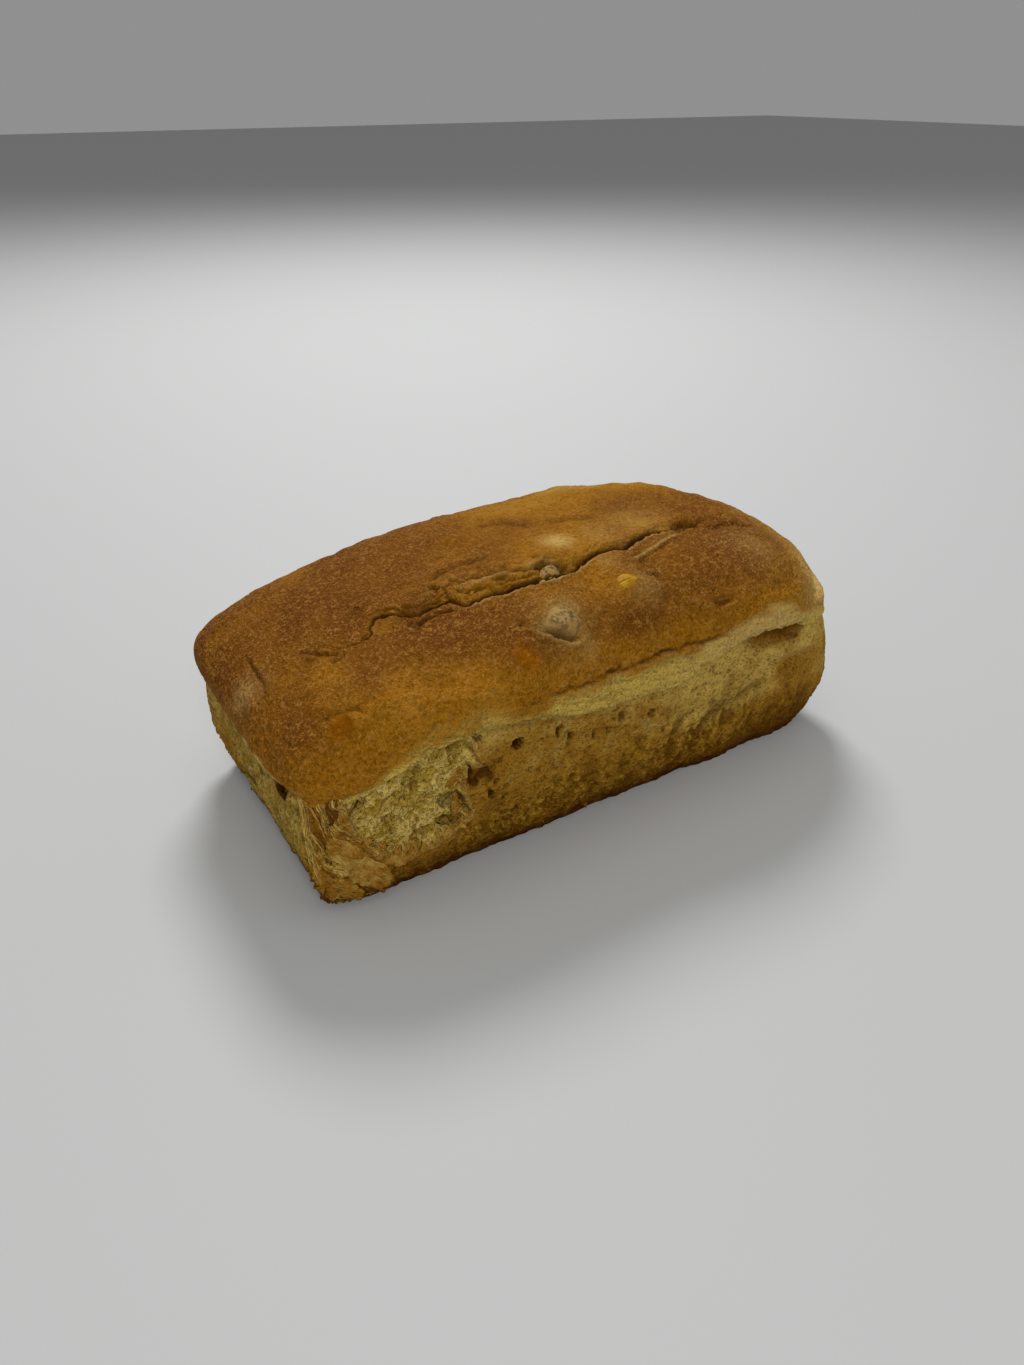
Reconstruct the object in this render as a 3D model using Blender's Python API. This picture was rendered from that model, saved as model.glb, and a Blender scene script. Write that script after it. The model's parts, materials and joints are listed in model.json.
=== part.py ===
"""A small stollen baked in a loaf tin: one solid loaf with the fruit that shows in its crust.

The loaf is a closed skin of grid lines. Its walls rise from a ragged flat bottom to the
edge of the crust, which hangs over them, and a dome closes the top. Cracks, folds, the
torn side and the pits are relief of the same solid. Each piece of fruit sits in a pocket
of its own. +X runs along the loaf, -Y is the side with the torn crumb, +Z is up.
"""
import bpy
import bmesh
import numpy as np
from mathutils import Matrix, Vector

# ---------------------------------------------------------------- driving sizes, in metres
BASE_LENGTH = 0.1615
BASE_WIDTH = 0.0775
LEDGE_HEIGHT = 0.0050          # from the tin's line up to the edge of the crust
GAP = 0.00035                  # clearance between a piece of fruit and its pocket

# How far each side stands out from the base: halfway up the wall, at the tin's line and
# at the edge of the crust.
FLARE = {
    "left": (0.0045, 0.0040, 0.0075),
    "right": (0.0085, 0.0065, 0.0090),
    "near": (0.0035, 0.0048, 0.0095),
    "far": (0.0028, 0.0038, 0.0110),
}
# Squareness of the outline seen from above at the base, the tin's line and the crust's
# edge, as the exponent of a superellipse: 2 is an ellipse, 16 is nearly a rectangle.
SQUARENESS = {"left": (16.0, 14.0, 5.4), "right": (16.0, 7.0, 3.5)}
# How boxy the dome is towards each side, as an exponent too.
DOME = {"left": 2.3, "right": 2.15, "near": 2.4, "far": 2.2}

# Heights along the loaf, as (place from -1 at the left end to 1 at the right end, height).
CREST = ((-1, 0.0575), (-0.5, 0.0650), (0, 0.0690), (0.5, 0.0700), (1, 0.0710))
EDGE_NEAR = ((-1, 0.0365), (-0.86, 0.0395), (-0.70, 0.0440), (-0.50, 0.0455), (-0.34, 0.0435),
             (-0.16, 0.0402), (0.06, 0.0395), (0.22, 0.0388), (0.36, 0.0415), (0.50, 0.0430),
             (0.75, 0.0425), (1, 0.0415))
EDGE_FAR = ((-1, 0.0410), (0, 0.0440), (1, 0.0420))

# The crack in the top, as (x, y of its line) and (x, depth).
CRACK_LINE = ((-0.076, -0.004), (-0.069, -0.008), (-0.0645, -0.0160), (-0.0560, -0.0155),
              (-0.0520, -0.0118), (-0.0455, -0.0178), (-0.0370, -0.0195), (-0.0290, -0.0228),
              (-0.0140, -0.0232), (-0.0085, -0.0182), (-0.0045, -0.0195), (-0.0015, -0.0242),
              (0.0040, -0.0218), (0.0160, -0.0205), (0.0250, -0.0185), (0.0320, -0.0198),
              (0.0400, -0.0178), (0.0580, -0.0110))
CRACK_DEPTH = ((-0.078, 0), (-0.069, 0.0007), (-0.056, 0.0014), (-0.042, 0.0016),
               (-0.030, 0.0030), (-0.020, 0.0046), (-0.010, 0.0048), (-0.001, 0.0026),
               (0.010, 0.0026), (0.020, 0.0036), (0.032, 0.0030), (0.044, 0.0016),
               (0.058, 0))
CRACK_WIDTH = 0.0013
CRACK_PLACE = -0.42            # the grid line that follows the crack, from -1 near to 1 far

LUMP_SIZE = 0.0005             # height of the loaf's soft unevenness
SEED = 12
LINES = {"length": 60, "width": 38, "height": 15}

# The fruit: name, kind, x and y seen from above, size along, across and out of the crust,
# and how far it stands proud of the crust.
FRUIT = (
    ("sultana_in_shoulder", "sultana", -0.0140, -0.0368, (0.0124, 0.0106, 0.0068), 0.0013),
    ("sultana_in_crack", "sultana", -0.0078, -0.0200, (0.0086, 0.0058, 0.0060), 0.0016),
    ("peel_in_shoulder", "peel", 0.0098, -0.0325, (0.0086, 0.0062, 0.0050), 0.0010),
    ("peel_below_shoulder", "peel", -0.0272, -0.0416, (0.0060, 0.0078, 0.0040), 0.0006),
    ("peel_at_corner", "peel", -0.0715, -0.0348, (0.0078, 0.0048, 0.0040), 0.0008),
)
# Pits in the walls: x, height, width and height of the mouth, depth.
PITS = (
    (-0.0303, 0.0343, 0.0028, 0.0032, 0.0026),
    (-0.0410, 0.0300, 0.0056, 0.0042, 0.0014),
    (-0.0182, 0.0350, 0.0012, 0.0034, 0.0014),
    (-0.0141, 0.0299, 0.0016, 0.0036, 0.0014),
    (-0.0057, 0.0273, 0.0013, 0.0030, 0.0014),
    (-0.0382, 0.0219, 0.0020, 0.0030, 0.0015),
    (0.0600, 0.0340, 0.0040, 0.0024, 0.0018),
)


# ---------------------------------------------------------------- rules of the shape
def through(knots, x):
    """A smooth curve through a few knots, read at x."""
    k = np.array(knots, float)
    slope = np.gradient(k[:, 1], k[:, 0])
    i = np.clip(np.searchsorted(k[:, 0], x) - 1, 0, len(k) - 2)
    step = k[i + 1, 0] - k[i, 0]
    u = np.clip((x - k[i, 0]) / step, 0, 1)
    start = (1 + 2 * u) * (1 - u) ** 2 * k[i, 1] + u * (1 - u) ** 2 * step * slope[i]
    end = u * u * (3 - 2 * u) * k[i + 1, 1] + u * u * (u - 1) * step * slope[i + 1]
    return start + end


def mix(a, b, share):
    return a + (b - a) * share


def hill(distance, width):
    """1 at distance 0, fading smoothly to 0 over about twice the width."""
    return np.exp(-(distance / width) ** 2)


def step_up(x, start, end):
    u = np.clip((x - start) / (end - start), 0, 1)
    return u * u * (3 - 2 * u)


def waves(seed, count, shortest, longest):
    """Soft seeded unevenness in space, made of crossing waves, between -1 and 1."""
    rng = np.random.default_rng(seed)
    way = rng.normal(size=(count, 3))
    way /= np.linalg.norm(way, axis=1)[:, None]
    pace = 2 * np.pi / rng.uniform(shortest, longest, count)
    phase = rng.uniform(0, 2 * np.pi, count)

    def at(p):
        return np.sin(p @ (way * pace[:, None]).T + phase).sum(-1) / count ** 0.5

    return at


def outline(s, t, flare, power):
    """Plan position for s along and t across, both from -1 to 1, within a superellipse."""
    half_length = BASE_LENGTH / 2 + np.where(s < 0, flare["left"], flare["right"])
    half_width = BASE_WIDTH / 2 + np.where(t < 0, flare["near"], flare["far"])
    x = half_length * s * (1 - np.abs(t) ** power / 2) ** (1 / power)
    y = half_width * t * (1 - np.abs(s) ** power / 2) ** (1 / power)
    return x, y


def edge_height(s, t):
    return mix(through(EDGE_NEAR, s), through(EDGE_FAR, s), (t + 1) / 2)


def wall(s, t, w):
    """The wall, from w = 0 at the base over 0.75 at the tin's line to 1 at the edge."""
    below = np.clip(w / 0.75, 0, 1)
    above = np.clip((w - 0.75) / 0.25, 0, 1)
    z = (edge_height(s, t) - LEDGE_HEIGHT) * below + LEDGE_HEIGHT * above
    bulge = np.sin(np.clip(below / 0.6, 0, 1) * np.pi / 2)
    flare = {}
    for side, (middle, line, edge) in FLARE.items():
        lower = middle * bulge + (line - middle) * np.clip((below - 0.6) / 0.4, 0, 1)
        flare[side] = lower + (edge - line) * above ** 2.6
    base, line, edge = (np.where(s < 0, a, b)
                        for a, b in zip(SQUARENESS["left"], SQUARENESS["right"]))
    x, y = outline(s, t, flare, mix(mix(base, line, below), edge, above))
    return np.stack([x, y, z], -1)


def dome(s, t):
    """The top, from the edge of the crust up to the crest."""
    flare = {side: sizes[2] for side, sizes in FLARE.items()}
    power = np.where(s < 0, SQUARENESS["left"][2], SQUARENESS["right"][2])
    x, y = outline(s, t, flare, power)
    along = np.where(s < 0, DOME["left"], DOME["right"])
    across = np.where(t < 0, DOME["near"], DOME["far"])
    rise = (1 - np.abs(s) ** along) ** (1 / along) * (1 - np.abs(t) ** across) ** (1 / across)
    z = mix(edge_height(s, t), through(CREST, s), rise)
    return np.stack([x, y, z], -1)


def spaced(count, places, strength, width):
    """Grid lines from -1 to 1 that gather at the given places."""
    u = np.linspace(-1, 1, 801)
    density = 1 + sum(strength * hill(u - place, width) for place in places)
    total = np.concatenate([[0], np.cumsum((density[1:] + density[:-1]) / 2)])
    return np.interp(np.linspace(0, total[-1], count + 1), total, u)


# ---------------------------------------------------------------- relief
def crack_relief(p):
    """The crack: a groove that runs in under its far lip, in a shallow hollow."""
    depth = np.interp(p[:, 0], *np.array(CRACK_DEPTH).T)
    off = p[:, 1] - np.interp(p[:, 0], *np.array(CRACK_LINE).T)
    moved = p.copy()
    moved[:, 2] -= depth * hill(off, CRACK_WIDTH)
    moved[:, 2] -= 0.22 * depth * hill(off, 0.011)
    moved[:, 2] += 0.26 * depth * hill(off - 0.0034, 0.0022)
    moved[:, 1] += 0.30 * depth * hill(off, CRACK_WIDTH * 0.7)
    return moved


def bump(p, x, y, radius, height):
    """A soft swelling of the crust round a place seen from above."""
    off = np.linalg.norm(p[:, :2] - np.array([x, y]), axis=1)
    on_top = step_up(p[:, 2], 0.040, 0.046)
    out = np.array([0, y * 0.5, 0.030])
    out /= np.linalg.norm(out)
    return p + (height * hill(off, radius) * on_top)[:, None] * out


def tear_relief(p):
    """The thin tear above the pale band on the near side of the crust."""
    height = 0.0492 + 0.0010 * np.sin(p[:, 0] * 190)
    along = step_up(p[:, 0], -0.046, -0.034) * (1 - step_up(p[:, 0], 0.034, 0.050))
    near = step_up(-p[:, 1], 0.042, 0.046)
    moved = p.copy()
    moved[:, 1] += 0.0009 * along * near * hill(p[:, 2] - height, 0.0009)
    moved[:, 1] -= 0.0005 * along * near * hill(p[:, 2] - height - 0.0024, 0.0016)
    return moved


def torn_side(p, rough):
    """The torn place low on the near side, where the skin has come off the crumb."""
    ragged = 0.0030 * rough(p * 0.8)
    along = step_up(p[:, 0] + ragged, -0.0745, -0.0690)
    along *= 1 - step_up(p[:, 0] + ragged - 0.35 * (p[:, 2] - 0.030), -0.0440, -0.0360)
    up = step_up(p[:, 2] + ragged, 0.0070, 0.0105)
    near = step_up(-p[:, 1], 0.030, 0.036) * (1 - step_up(p[:, 2], 0.040, 0.046))
    depth = along * up * near * (0.0021 + 0.0008 * rough(p * 1.4))
    moved = p.copy()
    moved[:, 1] += depth
    return moved


def creased_corner(p):
    """The near left corner: skin drawn in, with a few creases running down it."""
    corner = np.array([-0.0835, -0.0385])
    off = np.linalg.norm(p[:, :2] - corner, axis=1)
    up = step_up(p[:, 2], 0.006, 0.014) * (1 - step_up(p[:, 2], 0.030, 0.037))
    around = (p[:, 0] - corner[0]) - (p[:, 1] - corner[1])
    crease = np.sin(around * 900 + p[:, 2] * 160)
    pull = hill(off, 0.0105) * up * (0.0012 + 0.0005 * crease)
    moved = p.copy()
    moved[:, 0] += pull
    moved[:, 1] += pull
    return moved


def ragged_foot(p, rough):
    """The torn lower edge: the wall wanders in and out just above the flat bottom."""
    low = 1 - step_up(p[:, 2], 0.001, 0.009)
    out = p[:, :2] / np.linalg.norm(p[:, :2] * np.array([0.5, 1.0]), axis=1)[:, None]
    moved = p.copy()
    moved[:, :2] -= out * (low * (0.0004 + 0.0004 * rough(p * 2.0)))[:, None]
    return moved


def with_relief(p):
    """All the relief of the loaf, worked on points over the plain form."""
    lumps = waves(SEED, 14, 0.016, 0.050)
    rough = waves(SEED + 1, 16, 0.006, 0.016)
    top = step_up(p[:, 2], 0.044, 0.056)
    on_ground = p[:, 2] < 1e-6
    p = p + (LUMP_SIZE * lumps(p))[:, None] * np.array([0.3, 0.5, 1.0]) * top[:, None]
    p = crack_relief(p)
    for _, _, x, y, size, proud in FRUIT:
        p = bump(p, x, y, 0.6 * size[0], 0.6 * proud)
    p = tear_relief(p)
    p = torn_side(p, rough)
    p = creased_corner(p)
    p = ragged_foot(p, rough)
    p[on_ground, 2] = 0
    return p


# ---------------------------------------------------------------- meshes
def grid_positions():
    """Top grid, then the rings of the wall below it, with the faces that join them."""
    s_lines = spaced(LINES["length"], (-1, 1), 1.6, 0.16)
    t_lines = spaced(LINES["width"], (-1, CRACK_PLACE, 1), 1.8, 0.12)
    w_lines = 1 - (1 - np.linspace(0, 1, LINES["height"])) ** 1.25
    s, t = np.meshgrid(s_lines, t_lines, indexing="ij")
    plain = dome(s, t)
    aim = np.interp(plain[..., 0], *np.array(CRACK_LINE).T) / plain[:, :1, 1].min() * -1
    t_bent = t + (aim - CRACK_PLACE) * hill(t - CRACK_PLACE, 0.32) * (1 - t ** 8) * (1 - s ** 8)
    points = [dome(s, t_bent).reshape(-1, 3)]

    n, m = s.shape
    rim = [(i, 0) for i in range(n)] + [(n - 1, j) for j in range(1, m)]
    rim += [(i, m - 1) for i in range(n - 2, -1, -1)] + [(0, j) for j in range(m - 2, 0, -1)]
    rim_s = np.array([s_lines[i] for i, j in rim])
    rim_t = np.array([t_lines[j] for i, j in rim])
    for w in w_lines[-2::-1]:
        points.append(wall(rim_s, rim_t, np.full(len(rim), w)))

    faces = [(i * m + j, (i + 1) * m + j, (i + 1) * m + j + 1, i * m + j + 1)
             for i in range(n - 1) for j in range(m - 1)]
    above = [i * m + j for i, j in rim]
    count = n * m
    for _ in w_lines[:-1]:
        below = list(range(count, count + len(rim)))
        count += len(rim)
        for a in range(len(rim)):
            b = (a + 1) % len(rim)
            faces.append((above[a], below[a], below[b], above[b]))
        above = below
    faces.append(tuple(reversed(above)))
    return np.concatenate(points), faces


def material(name, colour, roughness, metallic=0.0):
    made = bpy.data.materials.new(name)
    made.use_nodes = True
    shader = made.node_tree.nodes["Principled BSDF"]
    shader.inputs["Base Color"].default_value = (*colour, 1)
    shader.inputs["Roughness"].default_value = roughness
    shader.inputs["Metallic"].default_value = metallic
    return made


def add_object(name, bm, look, smooth=True):
    bmesh.ops.recalc_face_normals(bm, faces=bm.faces[:])
    mesh = bpy.data.meshes.new(name)
    bm.to_mesh(mesh)
    bm.free()
    mesh.materials.append(look)
    for face in mesh.polygons:
        face.use_smooth = smooth
    made = bpy.data.objects.new(name, mesh)
    bpy.context.scene.collection.objects.link(made)
    return made


def make_loaf(look):
    points, faces = grid_positions()
    points = with_relief(points)
    bm = bmesh.new()
    corners = [bm.verts.new(p) for p in points]
    for face in faces:
        bm.faces.new([corners[i] for i in face])
    return add_object("loaf", bm, look)


def fruit_body(kind, place, out, size, swell, rng):
    """One wrinkled piece of fruit, or with swell the pocket that clears it all round."""
    bm = bmesh.new()
    bmesh.ops.create_icosphere(bm, subdivisions=3, radius=1)
    way = rng.normal(size=(5, 3))
    for corner in bm.verts:
        u = np.array(corner.co)
        wrinkle = 1 + 0.045 * np.sin(way @ u * 3).sum() / 5 ** 0.5
        if kind == "peel":
            u = np.sign(u) * np.abs(u) ** 0.75
        corner.co = Vector(u * wrinkle * (np.array(size) / 2 + swell))
    turn = Matrix(level_frame(out)).transposed().to_4x4()
    bmesh.ops.transform(bm, matrix=Matrix.Translation(place) @ turn, verts=bm.verts[:])
    return bm


def level_frame(out):
    """Axes for a piece in the crust: along the loaf, across it, and out of the crust."""
    across = out.cross(Vector((1, 0, 0))).normalized()
    return across.cross(out), across, out


def pit_body(x, height, width, tall, depth):
    """A cutter for one pit: a squashed ball standing in the near wall."""
    bm = bmesh.new()
    bmesh.ops.create_icosphere(bm, subdivisions=1, radius=1)
    wall_y = wall_face_y(x, height)
    place = Matrix.Translation((x, wall_y, height))
    size = Matrix.Diagonal((width / 2, depth, tall / 2, 1))
    bmesh.ops.transform(bm, matrix=place @ size, verts=bm.verts[:])
    return bm


def wall_face_y(x, height):
    """Where the near wall stands at this place, relief included."""
    s = np.full(60, x / (BASE_LENGTH / 2 + FLARE["left" if x < 0 else "right"][0]))
    w = np.linspace(0.02, 0.90, 60)
    p = with_relief(wall(s, -np.ones(60), w))
    return float(np.interp(height, p[:, 2], p[:, 1]))


def cut(body, cutters):
    """Take the cutters out of the body with one exact Boolean, then remove them."""
    group = bpy.data.collections.new("cutters")
    bpy.context.scene.collection.children.link(group)
    for cutter in cutters:
        bpy.context.scene.collection.objects.unlink(cutter)
        group.objects.link(cutter)
        cutter.hide_render = True
        cutter.display_type = "WIRE"
    carve = body.modifiers.new("pockets and pits", "BOOLEAN")
    carve.operation = "DIFFERENCE"
    carve.operand_type = "COLLECTION"
    carve.collection = group
    carve.solver = "EXACT"
    carved = bpy.data.meshes.new_from_object(
        body.evaluated_get(bpy.context.evaluated_depsgraph_get()))
    body.modifiers.clear()
    body.data = carved
    for cutter in list(group.objects):
        bpy.data.objects.remove(cutter)
    bpy.data.collections.remove(group)


def centre_on_origin(body, others):
    """Slide everything so that the loaf's box stands centred over the origin."""
    corners = np.array([tuple(v.co) for v in body.data.vertices])
    middle = (corners.min(0) + corners.max(0)) / 2
    slide = Matrix.Translation((-middle[0], -middle[1], 0))
    for made in (body, *others):
        made.data.transform(slide)


def build():
    for old in list(bpy.data.objects):
        bpy.data.objects.remove(old)
    crust = material("baked crust", (0.42, 0.20, 0.06), 0.62)
    looks = {
        "sultana": material("sultana skin", (0.20, 0.15, 0.06), 0.45),
        "peel": material("candied peel", (0.55, 0.28, 0.03), 0.35),
    }
    loaf = make_loaf(crust)
    fruit = []
    cutters = []
    bpy.context.view_layer.update()
    for number, (name, kind, x, y, size, proud) in enumerate(FRUIT):
        _, place, out, _ = loaf.ray_cast(Vector((x, y, 0.2)), Vector((0, 0, -1)))
        place -= out * (size[2] / 2 - proud)
        for swell in (0, GAP):
            rng = np.random.default_rng(SEED + 20 + number)
            body = fruit_body(kind, place, out, size, swell, rng)
            if swell:
                cutters.append(add_object(name + "_pocket", body, looks[kind]))
            else:
                fruit.append(add_object(name, body, looks[kind]))
    for number, pit in enumerate(PITS):
        cutters.append(add_object(f"pit_{number}", pit_body(*pit), crust))
    cut(loaf, cutters)
    centre_on_origin(loaf, fruit)


build()
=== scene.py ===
# %% [markdown]
# # Dressing a small stollen baked in a loaf tin
# The solids are loaded as a fixed frame, in metres, with the loaf standing on z = 0. The loaf
# runs along X, and the side where the crumb is torn open looks towards -Y. This file builds a fine
# crust, fine sides and the fruit in the places that the solids give, and then paints them.
# Everything below follows the order in which a baker would meet it: form, crack, crumb, fruit, colour.

# %% Load the solids and keep their box
import json
import bpy
import bmesh
import numpy as np
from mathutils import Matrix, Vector

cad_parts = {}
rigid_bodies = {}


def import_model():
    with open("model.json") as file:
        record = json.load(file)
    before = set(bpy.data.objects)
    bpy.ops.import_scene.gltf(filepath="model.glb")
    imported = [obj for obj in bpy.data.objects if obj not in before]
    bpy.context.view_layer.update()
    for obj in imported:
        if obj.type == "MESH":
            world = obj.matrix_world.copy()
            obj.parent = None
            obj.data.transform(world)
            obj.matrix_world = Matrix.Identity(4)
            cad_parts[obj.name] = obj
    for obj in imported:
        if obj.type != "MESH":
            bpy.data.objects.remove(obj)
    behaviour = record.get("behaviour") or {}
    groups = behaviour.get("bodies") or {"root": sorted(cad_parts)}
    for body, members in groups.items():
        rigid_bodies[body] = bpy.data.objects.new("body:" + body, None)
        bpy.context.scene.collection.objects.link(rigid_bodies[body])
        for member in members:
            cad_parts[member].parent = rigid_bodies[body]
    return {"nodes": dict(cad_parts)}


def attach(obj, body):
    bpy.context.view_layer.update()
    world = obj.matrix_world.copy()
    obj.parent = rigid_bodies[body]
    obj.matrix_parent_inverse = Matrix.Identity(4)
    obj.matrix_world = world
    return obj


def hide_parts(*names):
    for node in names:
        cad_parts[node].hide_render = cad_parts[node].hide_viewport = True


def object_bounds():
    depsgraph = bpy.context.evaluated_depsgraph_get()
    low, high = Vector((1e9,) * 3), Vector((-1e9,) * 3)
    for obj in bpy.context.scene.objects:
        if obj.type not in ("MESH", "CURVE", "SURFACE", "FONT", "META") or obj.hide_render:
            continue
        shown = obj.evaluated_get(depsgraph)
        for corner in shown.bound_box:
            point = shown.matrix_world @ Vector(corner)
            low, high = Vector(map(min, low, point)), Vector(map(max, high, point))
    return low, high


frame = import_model()
cad_low, cad_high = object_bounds()
print("solids:", ", ".join(sorted(frame["nodes"])))
print("box in mm:", [round(1000 * float(b - a), 1) for a, b in zip(cad_low, cad_high)])

# %% [markdown]
# ## Writing node trees as formulas
# A loaf's form and its pores are rules, so they are made by Geometry Nodes, and its finish by shader
# nodes. A rule of twenty Math nodes is hard to read as a list of links. The small class below lets a
# rule be written as ordinary arithmetic: each sign adds one Math node to the tree. It serves both
# kinds of tree, because they share the same Math node. Every other node is added by one helper, which
# takes its settings and what feeds it, so that a node reads as one line.

# %% A number that varies over a surface
class Field:
    """A number that varies over a surface. Arithmetic on it adds Math nodes to its tree."""

    def __init__(self, tree, socket):
        self.tree = tree
        self.socket = socket

    def math(self, operation, *values, clamp=False):
        node = self.tree.nodes.new("ShaderNodeMath")
        node.operation = operation
        node.use_clamp = clamp
        for slot, value in zip(node.inputs, values):
            feed(self.tree, slot, value)
        return Field(self.tree, node.outputs[0])

    __abs__ = lambda self: self.math("ABSOLUTE", self)
    __add__ = __radd__ = lambda self, other: self.math("ADD", self, other)
    __mul__ = __rmul__ = lambda self, other: self.math("MULTIPLY", self, other)
    __sub__ = lambda self, other: self.math("SUBTRACT", self, other)
    __rsub__ = lambda self, other: self.math("SUBTRACT", other, self)
    __truediv__ = lambda self, other: self.math("DIVIDE", self, other)
    __rtruediv__ = lambda self, other: self.math("DIVIDE", other, self)
    __pow__ = lambda self, other: self.math("POWER", self, other)
    __lt__ = lambda self, other: self.math("LESS_THAN", self, other)


def feed(tree, slot, value):
    """Put a Field, a socket or a plain value into a slot."""
    if isinstance(value, Field):
        value = value.socket
    if isinstance(value, bpy.types.NodeSocket):
        tree.links.new(value, slot)
    else:
        slot.default_value = value


def choose(condition, if_true, if_false):
    return condition * if_true + (1 - condition) * if_false


def clamped(field):
    return field.math("ADD", field, 0.0, clamp=True)


def add_node(tree, kind, inputs=None, output=0, **settings):
    """Add a node with its settings, feed its inputs by name or number, and take one output."""
    node = tree.nodes.new(kind)
    for name, value in settings.items():
        setattr(node, name, value)
    for slot, value in (inputs or {}).items():
        feed(tree, node.inputs[slot], value)
    return Field(tree, node.outputs[output])


def ease(field, start, end):
    """0 at start and 1 at end, with a soft beginning and a soft end."""
    return add_node(field.tree, "ShaderNodeMapRange", {
        "Value": field, "From Min": start, "From Max": end}, "Result", interpolation_type="SMOOTHSTEP")


# %% [markdown]
# ## Trees with named inputs
# A tree that names its sizes can be used again on another loaf, and it reads like a recipe. The next
# cell starts a tree with named inputs, and runs a Geometry Nodes tree on an object: it sets the
# inputs before the object is first evaluated, takes the result as a plain mesh, and takes the
# modifier off again, so that what is left is an ordinary mesh.

# %% Start a tree, and run one on an object
def socket_kind(value):
    """The kind of socket for a value: a word names it, three numbers are a vector, four a colour."""
    if isinstance(value, str):
        return value
    if isinstance(value, tuple):
        return "Vector" if len(value) == 3 else "Color"
    return "Int" if isinstance(value, int) else "Float"


def new_tree(name, kind, inputs, outputs):
    """A node group with named inputs, given with their first values, and named outputs."""
    tree = bpy.data.node_groups.new(name, kind)
    for way, sockets in (("INPUT", inputs), ("OUTPUT", outputs)):
        for label, value in sockets.items():
            socket = tree.interface.new_socket(label, in_out=way,
                                               socket_type="NodeSocket" + socket_kind(value))
            if not isinstance(value, str):
                socket.default_value = value
    start = tree.nodes.new("NodeGroupInput").outputs
    end = tree.nodes.new("NodeGroupOutput").inputs
    return tree, {label: Field(tree, start[label]) for label in inputs}, end


def geometry_tree(name, sizes):
    """A Geometry Nodes tree with named sizes, through which a mesh and a material pass."""
    return new_tree(name, "GeometryNodeTree", {"Geometry": "Geometry", "Material": "Material", **sizes},
                    {"Geometry": "Geometry"})


def run_tree(made, tree, **values):
    """Run a Geometry Nodes tree on an object and keep the result as its own plain mesh."""
    modifier = made.modifiers.new(tree.name, "NODES")
    modifier.node_group = tree
    for socket in tree.interface.items_tree:
        if socket.item_type == "SOCKET" and socket.in_out == "INPUT":
            key = socket.name.lower().replace(" ", "_")
            if key in values:
                modifier[socket.identifier] = values[key]
    made.update_tag()
    depsgraph = bpy.context.evaluated_depsgraph_get()
    result = bpy.data.meshes.new_from_object(made.evaluated_get(depsgraph))
    made.modifiers.clear()
    old = made.data
    made.data = result
    bpy.data.meshes.remove(old)
    print(f"{tree.name}: {made.name} now has {len(result.vertices)} points")
    return made


def stored(tree, name):
    """Read a number that is stored on each point of the mesh."""
    return add_node(tree, "GeometryNodeInputNamedAttribute", {"Name": name}, "Attribute",
                    data_type="FLOAT")


def place_parts(tree):
    """The position of each point as three fields."""
    parts = tree.nodes.new("ShaderNodeSeparateXYZ")
    feed(tree, parts.inputs[0], add_node(tree, "GeometryNodeInputPosition"))
    return [Field(tree, out) for out in parts.outputs]


def vector(tree, x, y, z):
    return add_node(tree, "ShaderNodeCombineXYZ", {0: x, 1: y, 2: z})


def noted(tree, geometry, name, amount):
    """Store a number on each point of the mesh, for the material to read."""
    return add_node(tree, "GeometryNodeStoreNamedAttribute", {
        "Geometry": geometry, "Name": name, "Value": amount}, data_type="FLOAT", domain="POINT")


def pushed_out(tree, geometry, height):
    """Move each point along its normal by a height in metres."""
    normal = add_node(tree, "GeometryNodeInputNormal")
    offset = add_node(tree, "ShaderNodeVectorMath", {0: normal, "Scale": height}, operation="SCALE")
    return add_node(tree, "GeometryNodeSetPosition", {"Geometry": geometry, "Offset": offset})


def finish_tree(tree, geometry, material, end):
    """The last two nodes of every tree: real instances, and the material."""
    real = add_node(tree, "GeometryNodeRealizeInstances", {0: geometry})
    painted = add_node(tree, "GeometryNodeSetMaterial", {"Geometry": real, "Material": material})
    feed(tree, end["Geometry"], painted)


# %% [markdown]
# ## Meshes as arrays
# Shapes are worked out for all points of a mesh at once. The next helpers hand its points over as one
# array and put them back, store a number on each point, and place an object in the scene.

# %% Points in and out, numbers on points, and objects
def points_of(mesh):
    flat = np.zeros(len(mesh.vertices) * 3)
    mesh.vertices.foreach_get("co", flat)
    return flat.reshape(-1, 3)


def put_points(mesh, points):
    mesh.vertices.foreach_set("co", points.ravel())
    mesh.update()


def in_box(points):
    """The points, kept within the box of the solids."""
    return np.clip(points, np.array(cad_low), np.array(cad_high))


def carry(mesh, name, numbers):
    """Store a number on each point of a mesh, for a tree or a material to read."""
    layer = mesh.attributes.get(name) or mesh.attributes.new(name, "FLOAT", "POINT")
    layer.data.foreach_set("value", numbers.astype(np.float32))


def mesh_from(bm, name):
    mesh = bpy.data.meshes.new(name)
    bm.to_mesh(mesh)
    bm.free()
    return mesh


def new_object(name, data, collection=None):
    """Place an object in a collection, or in the scene itself."""
    made = bpy.data.objects.new(name, data)
    (collection or bpy.context.scene.collection).objects.link(made)
    return made


# %% [markdown]
# ## The sizes of the loaf
# These are the sizes that shape the solid too: a tin of about 16 by 8 cm at the bottom, and a crust
# that swells over its rim. Only the crust's edge and the right end's roundness are drawn finer here.
# A superellipse describes both outlines: an exponent of 2 gives an ellipse and 16 gives nearly a
# rectangle, so one rule turns the square bottom into the rounder top.

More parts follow.
